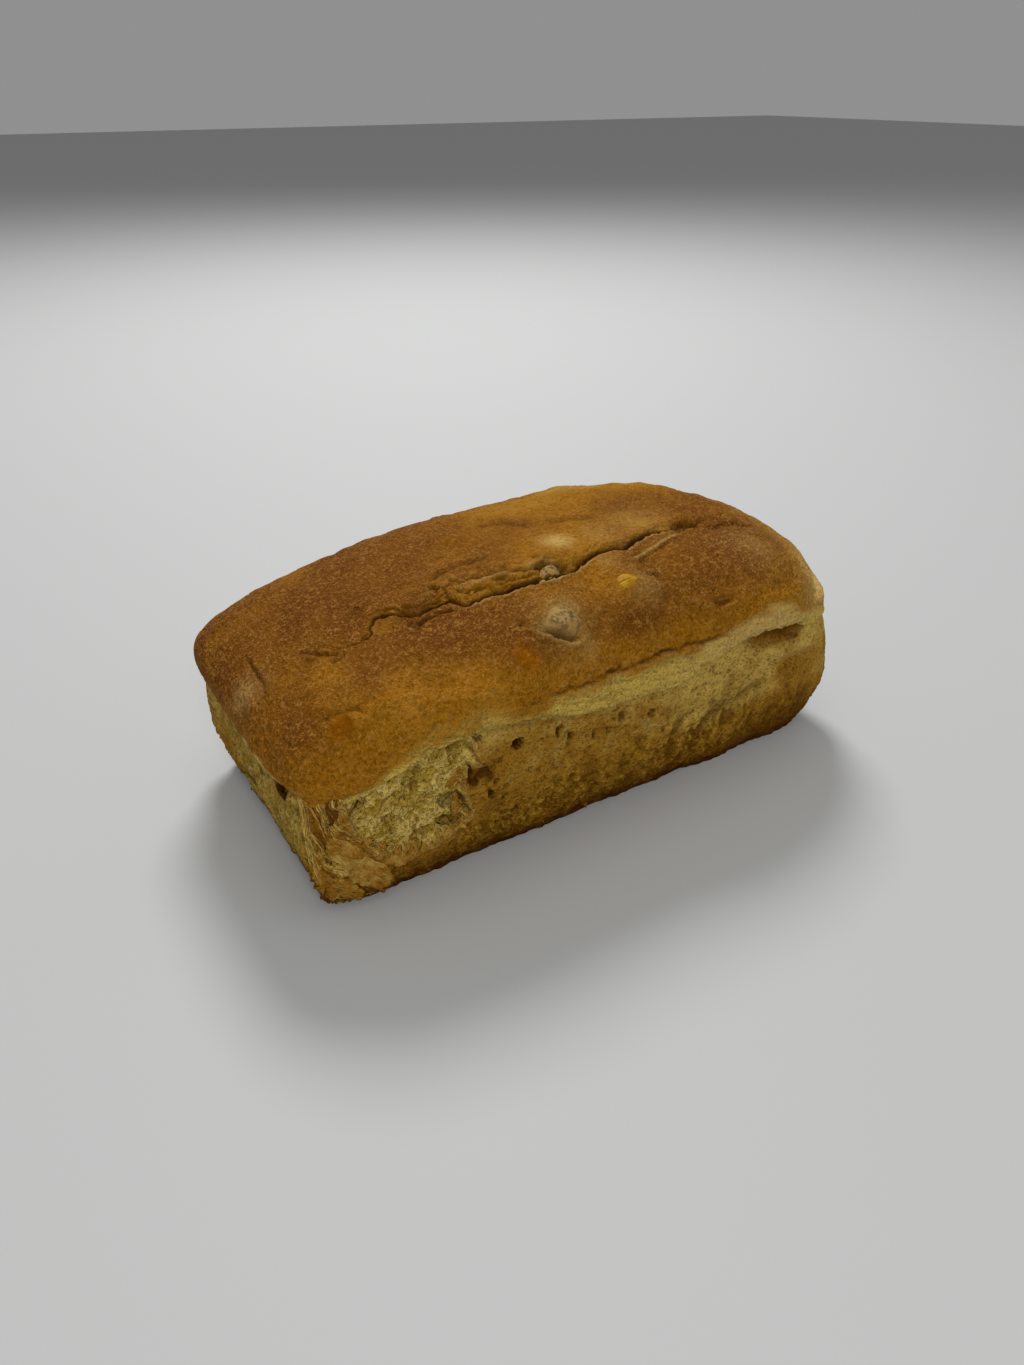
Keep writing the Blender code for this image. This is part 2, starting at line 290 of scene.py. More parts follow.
# %% Sizes in metres
BASE_LENGTH = 0.1615
BASE_WIDTH = 0.0775
LEDGE_HEIGHT = 0.0050
SKIRT = 0.42
FLARE = {
    "left": (0.0045, 0.0040, 0.0075),
    "right": (0.0085, 0.0065, 0.0090),
    "near": (0.0035, 0.0048, 0.0095),
    "far": (0.0028, 0.0038, 0.0110),
}
SQUARENESS = {"left": (16.0, 14.0, 5.4), "right": (16.0, 6.2, 4.0)}
DOME = {"left": 2.3, "right": 2.15, "near": 2.4, "far": 2.2}
CREST = ((-1, 0.0575), (-0.5, 0.0650), (0, 0.0690), (0.5, 0.0700), (1, 0.0710))
EDGE_NEAR = ((-1, 0.0365), (-0.86, 0.0395), (-0.70, 0.0440), (-0.50, 0.0455), (-0.34, 0.0435),
             (-0.16, 0.0402), (0.06, 0.0395), (0.22, 0.0390), (0.36, 0.0426), (0.46, 0.0446),
             (0.55, 0.0458), (0.70, 0.0450), (0.84, 0.0430), (1, 0.0415))
EDGE_FAR = ((-1, 0.0410), (0, 0.0440), (1, 0.0420))
HALF_LENGTH = {side: BASE_LENGTH / 2 + FLARE[side][2] for side in ("left", "right")}
HALF_WIDTH = {side: BASE_WIDTH / 2 + FLARE[side][2] for side in ("near", "far")}
CENTRE = np.array([HALF_LENGTH["left"] - HALF_LENGTH["right"],
                   HALF_WIDTH["near"] - HALF_WIDTH["far"], 0]) / 2
print("loaf by its sizes, mm:", round(1000 * sum(HALF_LENGTH.values()), 1),
      "x", round(1000 * sum(HALF_WIDTH.values()), 1))


# %% Curves, blends and seeded unevenness
def through(knots, x):
    """A smooth curve through a few knots, read at x."""
    k = np.array(knots, float)
    slope = np.gradient(k[:, 1], k[:, 0])
    i = np.clip(np.searchsorted(k[:, 0], x) - 1, 0, len(k) - 2)
    step = k[i + 1, 0] - k[i, 0]
    u = np.clip((x - k[i, 0]) / step, 0, 1)
    start = (1 + 2 * u) * (1 - u) ** 2 * k[i, 1] + u * (1 - u) ** 2 * step * slope[i]
    end = u * u * (3 - 2 * u) * k[i + 1, 1] + u * u * (u - 1) * step * slope[i + 1]
    return start + end


def mix(a, b, share):
    return a + (b - a) * share


def hill(distance, width):
    return np.exp(-(distance / width) ** 2)


def step_up(x, start, end):
    u = np.clip((x - start) / (end - start), 0, 1)
    return u * u * (3 - 2 * u)


def waves(seed, count, shortest, longest):
    """Soft seeded unevenness in space, made of crossing waves, between -1 and 1."""
    rng = np.random.default_rng(seed)
    way = rng.normal(size=(count, 3))
    way /= np.linalg.norm(way, axis=1)[:, None]
    pace = 2 * np.pi / rng.uniform(shortest, longest, count)
    phase = rng.uniform(0, 2 * np.pi, count)

    def at(p):
        return np.sin(p @ (way * pace[:, None]).T + phase).sum(-1) / count ** 0.5

    return at


def edge_height(s, t):
    return mix(through(EDGE_NEAR, s), through(EDGE_FAR, s), (t + 1) / 2)


def edge_at(p):
    """The height of the crust's edge beside each point."""
    return edge_height(p[:, 0] / 0.09, p[:, 1] / 0.05)


def flare_of(ring):
    """How far a ring stands out on each side: 0 the wall's middle, 1 the tin's line, 2 the edge."""
    return [FLARE[side][ring] for side in ("left", "right", "near", "far")]


def squareness_of(ring):
    """How square a ring is at each end: 0 the bottom, 1 the tin's line, 2 the edge."""
    return [SQUARENESS[side][ring] for side in ("left", "right")]


# %% [markdown]
# ## One rule for the form
# The loaf could be sculpted, or pushed out of a cube with Subdivision Surface. A rule is better
# here, because the crust and the sides have to fit each other and the solid to a hair. Each point
# carries its place along and across the loaf, how far its ring stands out, how square that ring is,
# and the lowest and highest z it can have. The tree turns these into a position: a superellipse
# outline, with a dome whose rise falls off to both ends and both sides.

# %% The tree "tin loaf form"
def form_tree():
    """Places each point by the loaf's rule from the numbers stored on it."""
    tree, start, end = geometry_tree("tin loaf form", {
        "Base Length": 0.16, "Base Width": 0.08, "Dome Left": 2.3, "Dome Right": 2.2,
        "Dome Near": 2.4, "Dome Far": 2.2, "Centre": (0, 0, 0)})
    s, t, power, low, high = (stored(tree, name) for name in (
        "along", "across", "squareness", "low", "high"))
    x = (start["Base Length"] / 2 + stored(tree, "out_along")) * s
    x = x * (1 - abs(t) ** power / 2) ** (1 / power)
    y = (start["Base Width"] / 2 + stored(tree, "out_across")) * t
    y = y * (1 - abs(s) ** power / 2) ** (1 / power)
    lengthwise = choose(s < 0, start["Dome Left"], start["Dome Right"])
    crosswise = choose(t < 0, start["Dome Near"], start["Dome Far"])
    rise = (1 - abs(s) ** lengthwise) ** (1 / lengthwise)
    rise = rise * (1 - abs(t) ** crosswise) ** (1 / crosswise)
    moved = add_node(tree, "GeometryNodeSetPosition", {
        "Geometry": start["Geometry"], "Position": vector(tree, x, y, low + (high - low) * rise),
        "Offset": start["Centre"]})
    finish_tree(tree, moved, start["Material"], end)
    return tree


loaf_form = form_tree()
print("tin loaf form:", len(loaf_form.nodes), "nodes")


# %% [markdown]
# ## The net that the rule bends
# A loaf's top is a grid whose lines stand evenly round the dome, closer where the crack and the rim
# need them. Below the grid, rings of points follow its border down. The same helper makes the crust,
# with a skirt that curls in under its edge, and the sides, which go down to the flat bottom.

# %% Grid lines, rings and the plain net
def lines(count, gather=()):
    """Lines from -1 to 1 that stand evenly round a dome, and closer near the given places."""
    turn = np.linspace(-np.pi / 2, np.pi / 2, 2001)
    place = np.sign(turn) * np.abs(np.sin(turn)) ** 0.87
    density = np.ones(len(place))
    for at, strength, width in gather:
        density += strength * hill(place - at, width)
    total = np.concatenate([[0], np.cumsum((density[1:] + density[:-1]) / 2)])
    return np.interp(np.linspace(0, total[-1], count + 1), total, place)


def border(s_lines, t_lines):
    """The rim of the grid as index pairs, going round from the near left corner."""
    n, m = len(s_lines), len(t_lines)
    rim = [(i, 0) for i in range(n)] + [(n - 1, j) for j in range(1, m)]
    return rim + [(i, m - 1) for i in range(n - 2, -1, -1)] + [(0, j) for j in range(m - 2, 0, -1)]


def ring_values(s, t, out, square, z):
    """What the form needs to know of one ring: out and square are (left, right, near, far)."""
    return {"along": s, "across": t, "out_along": np.where(s < 0, out[0], out[1]),
            "out_across": np.where(t < 0, out[2], out[3]),
            "squareness": np.where(s < 0, square[0], square[1]), "low": z, "high": z}


def plain_net(name, blocks, faces):
    """A mesh whose points carry the numbers of the form; their positions come from the tree."""
    mesh = bpy.data.meshes.new(name)
    count = sum(len(block["along"]) for block in blocks)
    mesh.from_pydata(np.zeros((count, 3)).tolist(), [], faces)
    for key in blocks[0]:
        carry(mesh, key, np.concatenate([block[key] for block in blocks]))
    return new_object(name, mesh)


def ring_faces(first_ring, count, size, rings):
    """Quads that join each ring to the one below it."""
    faces = []
    above = first_ring
    for _ in range(rings):
        below = list(range(count, count + size))
        count += size
        faces += [(above[a], below[a], below[(a + 1) % size], above[(a + 1) % size])
                  for a in range(size)]
        above = below
    return faces, above


def shaped(made, material):
    """Run the form tree with the loaf's sizes, and shade the result smooth."""
    run_tree(made, loaf_form, material=material, base_length=BASE_LENGTH, base_width=BASE_WIDTH,
             dome_left=DOME["left"], dome_right=DOME["right"], dome_near=DOME["near"],
             dome_far=DOME["far"], centre=tuple(CENTRE))
    made.data.shade_smooth()
    return made


# %% [markdown]
# ## Colour effects that several finishes share
# Baked dough has one story of colour: pale where the oven never reached, golden where it caught some
# heat, brown on the top. The crust, the sides and the torn flakes all need it, so it is a node group
# with named inputs. A second group gives the fine grain that every one of these surfaces shows.

# %% The shader groups "oven colour" and "bread grain"
def stretched(tree, place, stretch):
    """The same places, scaled along each axis where that is asked for."""
    if stretch is None:
        return place
    return add_node(tree, "ShaderNodeVectorMath", {0: place, 1: stretch}, operation="MULTIPLY")


def noise(tree, place, scale, detail=2.0, roughness=0.5, distortion=0.0, stretch=None):
    """Soft noise between 0 and 1 in object space, stretched where a direction asks for it."""
    return add_node(tree, "ShaderNodeTexNoise", {
        "Vector": stretched(tree, place, stretch), "Scale": scale, "Detail": detail,
        "Roughness": roughness, "Distortion": distortion})


def cells(tree, place, scale, stretch=None):
    """Cells packed in space: the distance from a cell's middle, and a random number for each cell."""
    distance = add_node(tree, "ShaderNodeTexVoronoi", {
        "Vector": stretched(tree, place, stretch), "Scale": scale}, "Distance")
    colour = distance.socket.node.outputs["Color"]
    return distance, add_node(tree, "ShaderNodeSeparateXYZ", {0: colour})


def blend(tree, share, a, b):
    """Mix two colours, each a field or an RGB triple."""
    a, b = ((*colour, 1.0) if isinstance(colour, tuple) else colour for colour in (a, b))
    return add_node(tree, "ShaderNodeMix", {0: share, 6: a, 7: b}, 2, data_type="RGBA")


def layered(tree, colour, *layers):
    """Lay colours over one another; each layer is how much of it shows, and its colour."""
    for share, paint in layers:
        colour = blend(tree, share, colour, paint)
    return colour


def oven_colour_group():
    """Dough colour by how far it is baked: 0 pale, 0.5 golden, 1 brown."""
    tree, start, end = new_tree("oven colour", "ShaderNodeTree", {
        "Bake": 0.5, "Pale": (0.70, 0.49, 0.100, 1.0), "Golden": (0.350, 0.140, 0.0036, 1.0),
        "Brown": (0.165, 0.050, 0.0046, 1.0)}, {"Color": "Color"})
    lower = blend(tree, ease(start["Bake"], 0.0, 0.5), start["Pale"], start["Golden"])
    feed(tree, end["Color"], blend(tree, ease(start["Bake"], 0.45, 1.0), lower, start["Brown"]))
    return tree


def bread_grain_group():
    """Fine speckle of baked dough: a value for colour and a height for bump, both 0 to 1."""
    tree, start, end = new_tree("bread grain", "ShaderNodeTree", {
        "Vector": "Vector", "Grain Size": 0.0006, "Wrinkle Size": 0.0020,
    }, {"Speckle": "Float", "Mottle": "Float", "Height": "Float"})
    fine = noise(tree, start["Vector"], 0.7 / start["Grain Size"], detail=3, roughness=0.65)
    soft = noise(tree, start["Vector"], 0.7 / start["Wrinkle Size"], detail=3, roughness=0.6,
                 distortion=0.3)
    for label, value in (("Speckle", fine), ("Mottle", soft), ("Height", fine * 0.60 + soft * 0.40)):
        feed(tree, end[label], value)
    return tree


oven_colour = oven_colour_group()
bread_grain = bread_grain_group()
print("shader groups:", oven_colour.name, "and", bread_grain.name)


# %% [markdown]
# ## Starting a material
# Every material starts from the same few nodes: the Principled shader, the place on the object, and
# the numbers that the shape has stored on its points, such as how far it is baked. Values that are
# the same all over are set on the shader's own sockets.

# %% Helpers for materials
def new_material(name, roughness, specular, coat=0.0):
    """A material with its tree, its shader and the Object coordinates."""
    made = bpy.data.materials.new(name)
    made.use_nodes = True
    tree = made.node_tree
    shader = tree.nodes["Principled BSDF"]
    shader.inputs["Roughness"].default_value = roughness
    shader.inputs["Specular IOR Level"].default_value = specular
    shader.inputs["Coat Weight"].default_value = coat
    place = tree.nodes.new("ShaderNodeTexCoord").outputs["Object"]
    return made, tree, shader.inputs, place


def carried(tree, name):
    """A number that the mesh carries on its points, as the shader reads it."""
    return add_node(tree, "ShaderNodeAttribute", output="Fac", attribute_name=name)


def use_group(tree, group, **values):
    """Place a shared group, feed its named inputs, and hand back its outputs by name."""
    node = tree.nodes.new("ShaderNodeGroup")
    node.node_tree = group
    for label, value in values.items():
        slot = node.inputs[label.replace("_", " ").title()]
        feed(tree, slot, (*value, 1.0) if isinstance(value, tuple) else value)
    return {out.name: Field(tree, out) for out in node.outputs}


def grained_material(name, roughness, specular, grain_size, wrinkle_size, coat=0.0):
    """A material with the shared grain in it: speckle, mottle and height come with its nodes."""
    made, tree, inputs, place = new_material(name, roughness, specular, coat)
    grain = use_group(tree, bread_grain, vector=place, grain_size=grain_size,
                      wrinkle_size=wrinkle_size)
    return made, tree, inputs, place, grain["Speckle"], grain["Mottle"], grain["Height"]


def add_bump(tree, inputs, height, distance, strength):
    """Small relief from a height, with its real depth in metres."""
    feed(tree, inputs["Normal"], add_node(tree, "ShaderNodeBump", {
        "Strength": strength, "Distance": distance, "Height": height}))


# %% [markdown]
# ## The finish of the crust
# The real crust is a thin skin, browner on the top and at the left, deep gold towards the near rim
# and cream right at the rim, where the tin's edge shaded it. Up close it is speckled with tiny pale
# flecks where the skin dried. The shape stores how far each point is baked and where it is folded,
# and the material adds blotches of about 1 cm, mottling of 1.5 mm and a grain of half a millimetre.

# %% The material "baked crust"
def crust_material():
    made, tree, inputs, place, speckle, mottle, height = grained_material(
        "baked crust", 0.58, 0.02, grain_size=0.00060, wrinkle_size=0.0015)
    blotch = noise(tree, place, 90, detail=4, roughness=0.65)
    bake = carried(tree, "bake") + (blotch - 0.5) * 0.55 + (mottle - 0.5) * 0.60
    bake = bake + (speckle - 0.5) * 0.45
    flecks = ease(noise(tree, place, 2000, detail=2, roughness=0.7), 0.56, 0.68)
    fold, deep = carried(tree, "fold"), carried(tree, "deep")
    grainy = speckle * 1.5
    veil = blend(tree, ease(mottle, 0.42, 0.58), (0.32, 0.195, 0.050), (0.46, 0.290, 0.082))
    colour = layered(
        tree, use_group(tree, oven_colour, bake=bake)["Color"],
        (ease(height, 0.50, 0.40) * 0.52, (0.090, 0.028, 0.0022)),  # painted shade in the valleys of the grain
        (ease(height, 0.50, 0.60) * 0.42, (0.50, 0.250, 0.044)),  # painted highlight on its ridges
        (flecks * 0.36, (0.60, 0.34, 0.090)),
        (clamped(fold * 0.45), (0.46, 0.23, 0.045)),  # painted highlight on the ridges of the folds
        (clamped(fold * -0.60), (0.085, 0.027, 0.0022)),  # and painted shade in their valleys
        (clamped(carried(tree, "glow")), (0.27, 0.088, 0.0012)),  # peel under the skin
        (clamped(carried(tree, "stain") * grainy), veil),  # skin over the large sultana
        # pale skin, with painted highlights on lips, edges, ridges and the tops of bumps
        (clamped(carried(tree, "pale_and_painted_highlight") * grainy), (0.62, 0.400, 0.125)),
        # painted shade in the crack, the creases, the small cracks and the tear
        (clamped(deep) * 0.90, (0.036, 0.011, 0.0016)))
    feed(tree, inputs["Base Color"], colour)
    feed(tree, inputs["Roughness"], 0.52 + speckle * 0.16 + deep * 0.2)
    add_bump(tree, inputs, height, 0.0023, 1.0)
    return made


crust_finish = crust_material()
print("material:", crust_finish.name)


# %% [markdown]
# ## The finish of the sides
# Below the crust the loaf touched the tin and stayed tan, with fine pits. Where the skin has come
# off, the crumb shows: light yellow walls round small hollows. At the near left corner a smooth
# orange skin is left, and the foot is brown. The shape stores where each of these is.

# %% The material "sides and crumb"
def sides_material():
    made, tree, inputs, place, speckle, mottle, height = grained_material(
        "sides and crumb", 0.62, 0.02, grain_size=0.00070, wrinkle_size=0.0026)
    blotch = noise(tree, place, 95, detail=4, roughness=0.62, stretch=(1, 1, 0.50))
    torn, gouge, hollow, membrane = (carried(tree, name) for name in (
        "torn", "gouge", "hollow", "membrane"))
    bake = carried(tree, "bake") + (blotch - 0.5) * 0.85 + (mottle - 0.5) * 0.60
    bake = bake + (speckle - 0.5) * 0.45
    skin = use_group(tree, oven_colour, bake=bake, pale=(0.57, 0.375, 0.085),
                     golden=(0.35, 0.168, 0.017), brown=(0.118, 0.038, 0.0012))["Color"]
    wet = noise(tree, place, 260, detail=3, roughness=0.6)
    crumb = blend(tree, ease(wet, 0.38, 0.62), (0.42, 0.262, 0.030), (0.67, 0.480, 0.125))
    # painted highlights scattered over the crumb
    crumb = blend(tree, ease(speckle, 0.50, 0.70) * 0.50, crumb, (0.76, 0.590, 0.21))
    orange = blend(tree, ease(mottle, 0.35, 0.70), (0.185, 0.062, 0.0020), (0.30, 0.125, 0.0070))
    raised_highlight = carried(tree, "scarred") * (1 - gouge) * ease(speckle, 0.42, 0.62)
    pores, _ = cells(tree, place, 1150)
    colour = layered(
        tree, skin,
        (torn, crumb),
        (clamped(membrane), orange),
        (clamped(raised_highlight) * 0.65, (0.50, 0.295, 0.024)),  # painted highlight on what stands up between the gouges
        # painted shade in the gouges, together with their browner skin
        (clamped(gouge) * 0.80, (0.095, 0.034, 0.0012)),
        (ease(height, 0.48, 0.34) * 0.38, (0.11, 0.048, 0.004)),  # painted shade in the valleys of the grain
        # painted shade in the fine pores of the skin
        (ease(pores, 0.36, 0.16) * (1 - torn) * 0.55, (0.12, 0.050, 0.004)),
        # pale skin, with painted highlights on the torn edge, the corner's edge, folds and ridges
        (clamped(carried(tree, "pale_and_painted_highlight")) * 0.7, (0.58, 0.400, 0.12)),
        (clamped(hollow * torn) * 0.72, (0.20, 0.098, 0.0060)),  # painted shade in the hollows of the crumb
        (clamped(hollow * (1 - torn)) * 0.80, (0.085, 0.034, 0.0022)),  # painted shade in the pits of the skin
        # painted shade in pits, the corner's notch, beside folds and under the rim, and a painted shadow
        # at the foot
        (clamped(carried(tree, "deep")), (0.0525, 0.0135, 0.0008)))
    feed(tree, inputs["Base Color"], colour)
    feed(tree, inputs["Roughness"], 0.70 - membrane * 0.28 + (speckle - 0.5) * 0.12)
    height = height + ease(pores, 0.1, 0.6) * (0.25 + torn * 0.30)
    add_bump(tree, inputs, height, 0.0013, 0.90)
    return made


sides_finish = sides_material()
print("material:", sides_finish.name)


# %% [markdown]
# ## Torn skin, sultanas and peel
# Shreds of torn skin are thinner than the crust, so they are lighter, with fibres that run along
# them, each with a painted highlight and with painted shade between them. A baked sultana has a
# dry, dusty grey-brown skin, with painted shade in its wrinkles and where the dough shades it, and a
# thin film of dough veils its edge. Candied peel is amber, and darker where it baked.

# %% The materials "torn skin", "sultana skin", "candied peel" and "baked peel"
def torn_skin_material():
    made, tree, inputs, place, _, mottle, height = grained_material(
        "torn skin", 0.55, 0.04, grain_size=0.0006, wrinkle_size=0.0020)
    across, along = carried(tree, "fibre_across"), carried(tree, "fibre_along")
    fibres = noise(tree, vector(tree, across, along * 0.12, 0.0), 2300, detail=3, roughness=0.6)
    bake = carried(tree, "bake") + (mottle - 0.5) * 1.1 + (fibres - 0.5) * 0.9
    skin = use_group(tree, oven_colour, bake=bake, pale=(0.58, 0.375, 0.090),
                     golden=(0.32, 0.140, 0.009), brown=(0.115, 0.036, 0.0016))["Color"]
    feed(tree, inputs["Base Color"], layered(
        tree, skin,
        (ease(fibres, 0.54, 0.64) * 0.5, (0.62, 0.42, 0.13)),  # painted highlight on fibres that stand up
        (ease(fibres, 0.46, 0.36) * 0.6, (0.12, 0.050, 0.0040))))  # and painted shade in the gaps between them
    add_bump(tree, inputs, fibres * 0.6 + height * 0.4, 0.0009, 0.8)
    return made


def sultana_material():
    made, tree, inputs, _, _, mottle, height = grained_material(
        "sultana skin", 0.66, 0.06, grain_size=0.0005, wrinkle_size=0.0010)
    dusty = blend(tree, ease(mottle, 0.40, 0.58), (0.140, 0.084, 0.026), (0.330, 0.205, 0.070))
    feed(tree, inputs["Base Color"], layered(
        tree, dusty,
        (ease(height, 0.48, 0.40) * 0.6, (0.085, 0.047, 0.015)),  # painted shade in its wrinkles
        (clamped(carried(tree, "skin")) * 0.80, (0.380, 0.215, 0.052)),  # the film of dough
        (clamped(carried(tree, "lee")) * 0.85, (0.050, 0.022, 0.005))))  # the shade of the dough
    add_bump(tree, inputs, height, 0.0008, 0.8)
    return made


def peel_material(name, deep, bright):
    made, tree, inputs, _, _, mottle, height = grained_material(
        name, 0.58, 0.05, grain_size=0.0008, wrinkle_size=0.0022, coat=0.01)
    feed(tree, inputs["Base Color"], blend(tree, ease(mottle, 0.35, 0.68), deep, bright))
    add_bump(tree, inputs, height, 0.0008, 0.6)
    return made


torn_skin_finish = torn_skin_material()
sultana_finish = sultana_material()
peel_finish = peel_material("candied peel", (0.34, 0.160, 0.005), (0.52, 0.285, 0.018))
baked_peel_finish = peel_material("baked peel", (0.24, 0.078, 0.0010), (0.34, 0.140, 0.0030))
print("materials:", ", ".join(m.name for m in (
    torn_skin_finish, sultana_finish, peel_finish, baked_peel_finish)))


# %% [markdown]
# ## Lines on the loaf
# Cracks, folds and tears are lines, so one helper measures how far every point is from a line, on
# which side of it, and how far along. Another helper gives a line the small jags that torn dough
# has. Seen from above, a line has x and y; on the near wall it has x and height. Its points are
# written in tenths of a millimetre, which keeps a long line short.

# %% Distance from a line, and jagged lines
def tenths(text):
    """Points written in tenths of a millimetre, such as "-720,-80 -660,-130", made metres."""
    return tuple(tuple(int(number) / 10000 for number in point.split(",")) for point in text.split())


def run_of(line):
    """How far along a line each of its points lies."""
    return np.concatenate([[0], np.cumsum(np.hypot(*np.diff(line, axis=0).T))])


def evenly(line, count, endpoint=True):
    """Points at even steps along a line, and how far along it each lies."""
    total = run_of(line)
    even = np.linspace(0, total[-1], count, endpoint=endpoint)
    return np.stack([np.interp(even, total, axis) for axis in line.T], 1), even


def jagged(line, step, amount, seed):
    """The same line in short steps, each moved sideways a little, with a fixed seed."""
    line = np.array(line, float)
    count = max(2, int(run_of(line)[-1] / step))
    points, _ = evenly(line, count)
    points[1:-1] += np.random.default_rng(seed).normal(size=(count - 2, 2)) * amount
    return points


def from_line(plan, line):
    """For each point: signed distance from the line, positive on its left, and share along it."""
    line = np.array(line, float)
    best = np.full(len(plan), 1e9)
    side = np.ones(len(plan))
    share = np.zeros(len(plan))
    gaps = np.hypot(*np.diff(line, axis=0).T)
    starts = run_of(line)
    for a, b, length, start in zip(line[:-1], line[1:], gaps, starts):
        way = (b - a) / length
        along = np.clip((plan - a) @ way, 0, length)
        off = plan - a - along[:, None] * way
        distance = np.hypot(off[:, 0], off[:, 1])
        closer = distance < best
        best[closer] = distance[closer]
        turn = way[0] * (plan[closer, 1] - a[1]) - way[1] * (plan[closer, 0] - a[0])
        side[closer] = np.where(turn < 0, -1, 1)
        share[closer] = (start + along[closer]) / starts[-1]
    return best * side, share


def faded(share, ends=0.12):
    """1 along a line and 0 at its two tips."""
    return step_up(share, 0, ends) * (1 - step_up(share, 1 - ends, 1))


# %% [markdown]
# ## Points and normals in and out
# Relief is worked out for all points at once with numpy. Each feature adds to one height, measured
# along the surface's normal, and to the numbers that the material reads. The sizes are in the
# loaf's own frame, before it is centred, so the centre is taken off for the measurements.

# %% A relief that features add to
class Relief:
    """Heights and stored numbers for a mesh's points, which cracks, folds and bumps add to."""

    def __init__(self, made):
        self.mesh = made.data
        self.points = points_of(self.mesh) - CENTRE
        normals = np.zeros(self.points.size, np.float32)
        self.mesh.vertex_normals.foreach_get("vector", normals)
        self.normals = normals.reshape(-1, 3).astype(float)
        self.height = np.zeros(len(self.points))
        self.slip = np.zeros(self.points.shape)
        self.numbers = {}

    def number(self, name):
        return self.numbers.setdefault(name, np.zeros(len(self.points)))

    def paint(self, name, amount):
        self.numbers[name] = np.maximum(self.number(name), amount)

    def moved(self):
        """Where the points stand with what has been added so far."""
        return self.points + self.normals * self.height[:, None] + self.slip + CENTRE

    def apply(self):
        """Move the points, keep them within the solid's box, and store the numbers."""
        put_points(self.mesh, in_box(self.moved()))
        for name, numbers in self.numbers.items():
            carry(self.mesh, name, numbers)
        print(f"{self.mesh.name}: relief from {1000 * self.height.min():.1f} to "
              f"{1000 * self.height.max():.1f} mm, numbers: {', '.join(self.numbers)}")


# %% [markdown]
# ## Outlines, and where the fruit sits
# Patches such as the torn crumb are closed outlines, and one helper tells how deep inside an outline
# each point lies. The fruit's own place is read off the solids, so the fine fruit sits
# exactly where the solid fruit does. What stands over the solid's box is pressed back into it.

# %% The box, outlines and the places of the fruit
def keep_inside(made, soft=0.0020):
    """Press what stands over the solid's box softly back into it, so that no flat spot shows."""
    points = points_of(made.data)
    start = cad_high[2] - soft
    over = points[:, 2] > start
    if over.any():
        squeeze = min(1.0, soft / (points[:, 2].max() - start))
        points[over, 2] = start + (points[over, 2] - start) * squeeze
    put_points(made.data, in_box(points))


def outline_depth(plan, outline):
    """Distance from a closed outline, positive inside it; a point is inside after odd crossings."""
    off, _ = from_line(plan, tuple(outline) + (outline[0],))
    inside = np.zeros(len(plan), bool)
    for (x0, y0), (x1, y1) in zip(outline, tuple(outline[1:]) + (outline[0],)):
        if y0 != y1:
            crossed = (y0 > plan[:, 1]) != (y1 > plan[:, 1])
            inside ^= crossed & (plan[:, 0] < x0 + (plan[:, 1] - y0) * (x1 - x0) / (y1 - y0))
    return np.where(inside, np.abs(off), -np.abs(off))


def within(plan, outline, ragged=0.0, soft=0.0005):
    """1 inside a closed outline and 0 outside it, with a soft and, if asked, a ragged edge."""
    return step_up(outline_depth(plan, outline) + ragged, -soft / 2, soft / 2)


def fruit_place(name):
    """Middle, axes and half lengths of a solid piece of fruit."""
    corners = np.array([tuple(v.co) for v in frame["nodes"][name].data.vertices])
    middle = corners.mean(0)
    spread = (corners - middle).T @ (corners - middle)
    axes = np.linalg.eigh(spread)[1][:, ::-1]
    axes[:, 2] = np.cross(axes[:, 0], axes[:, 1])
    if axes[2, 2] < 0:
        axes[:, 1:] *= -1
    return middle, axes, np.abs((corners - middle) @ axes).max(0)


# %% [markdown]
# ## The crust: net and form
# The crust is a closed shell of its own: a fine grid over the top, a skirt that hangs over the tin's
# line, a curl in under it, and a flat closing inside, where nobody looks. The grid lines gather
# along the crack and at the near rim, because the finest relief is there.

# %% The crust's crack line
CRACK = tenths(
    "-720,-80 -660,-130 -613,-153 -579,-165 -549,-160 -543,-142 -531,-124 -519,-112 -500,-118 -481,-137 "
    "-461,-161 -454,-178 -434,-190 -400,-184 -373,-190 -345,-190 -337,-219 -330,-230 -294,-230 -250,-230 "
    "-228,-241 -160,-243 -92,-247 -15,-247 -4,-243 39,-225 85,-213 147,-213 154,-225 215,-208 253,-190 "
    "313,-184 380,-182 450,-160 560,-130")
CRACK_AT = -0.46


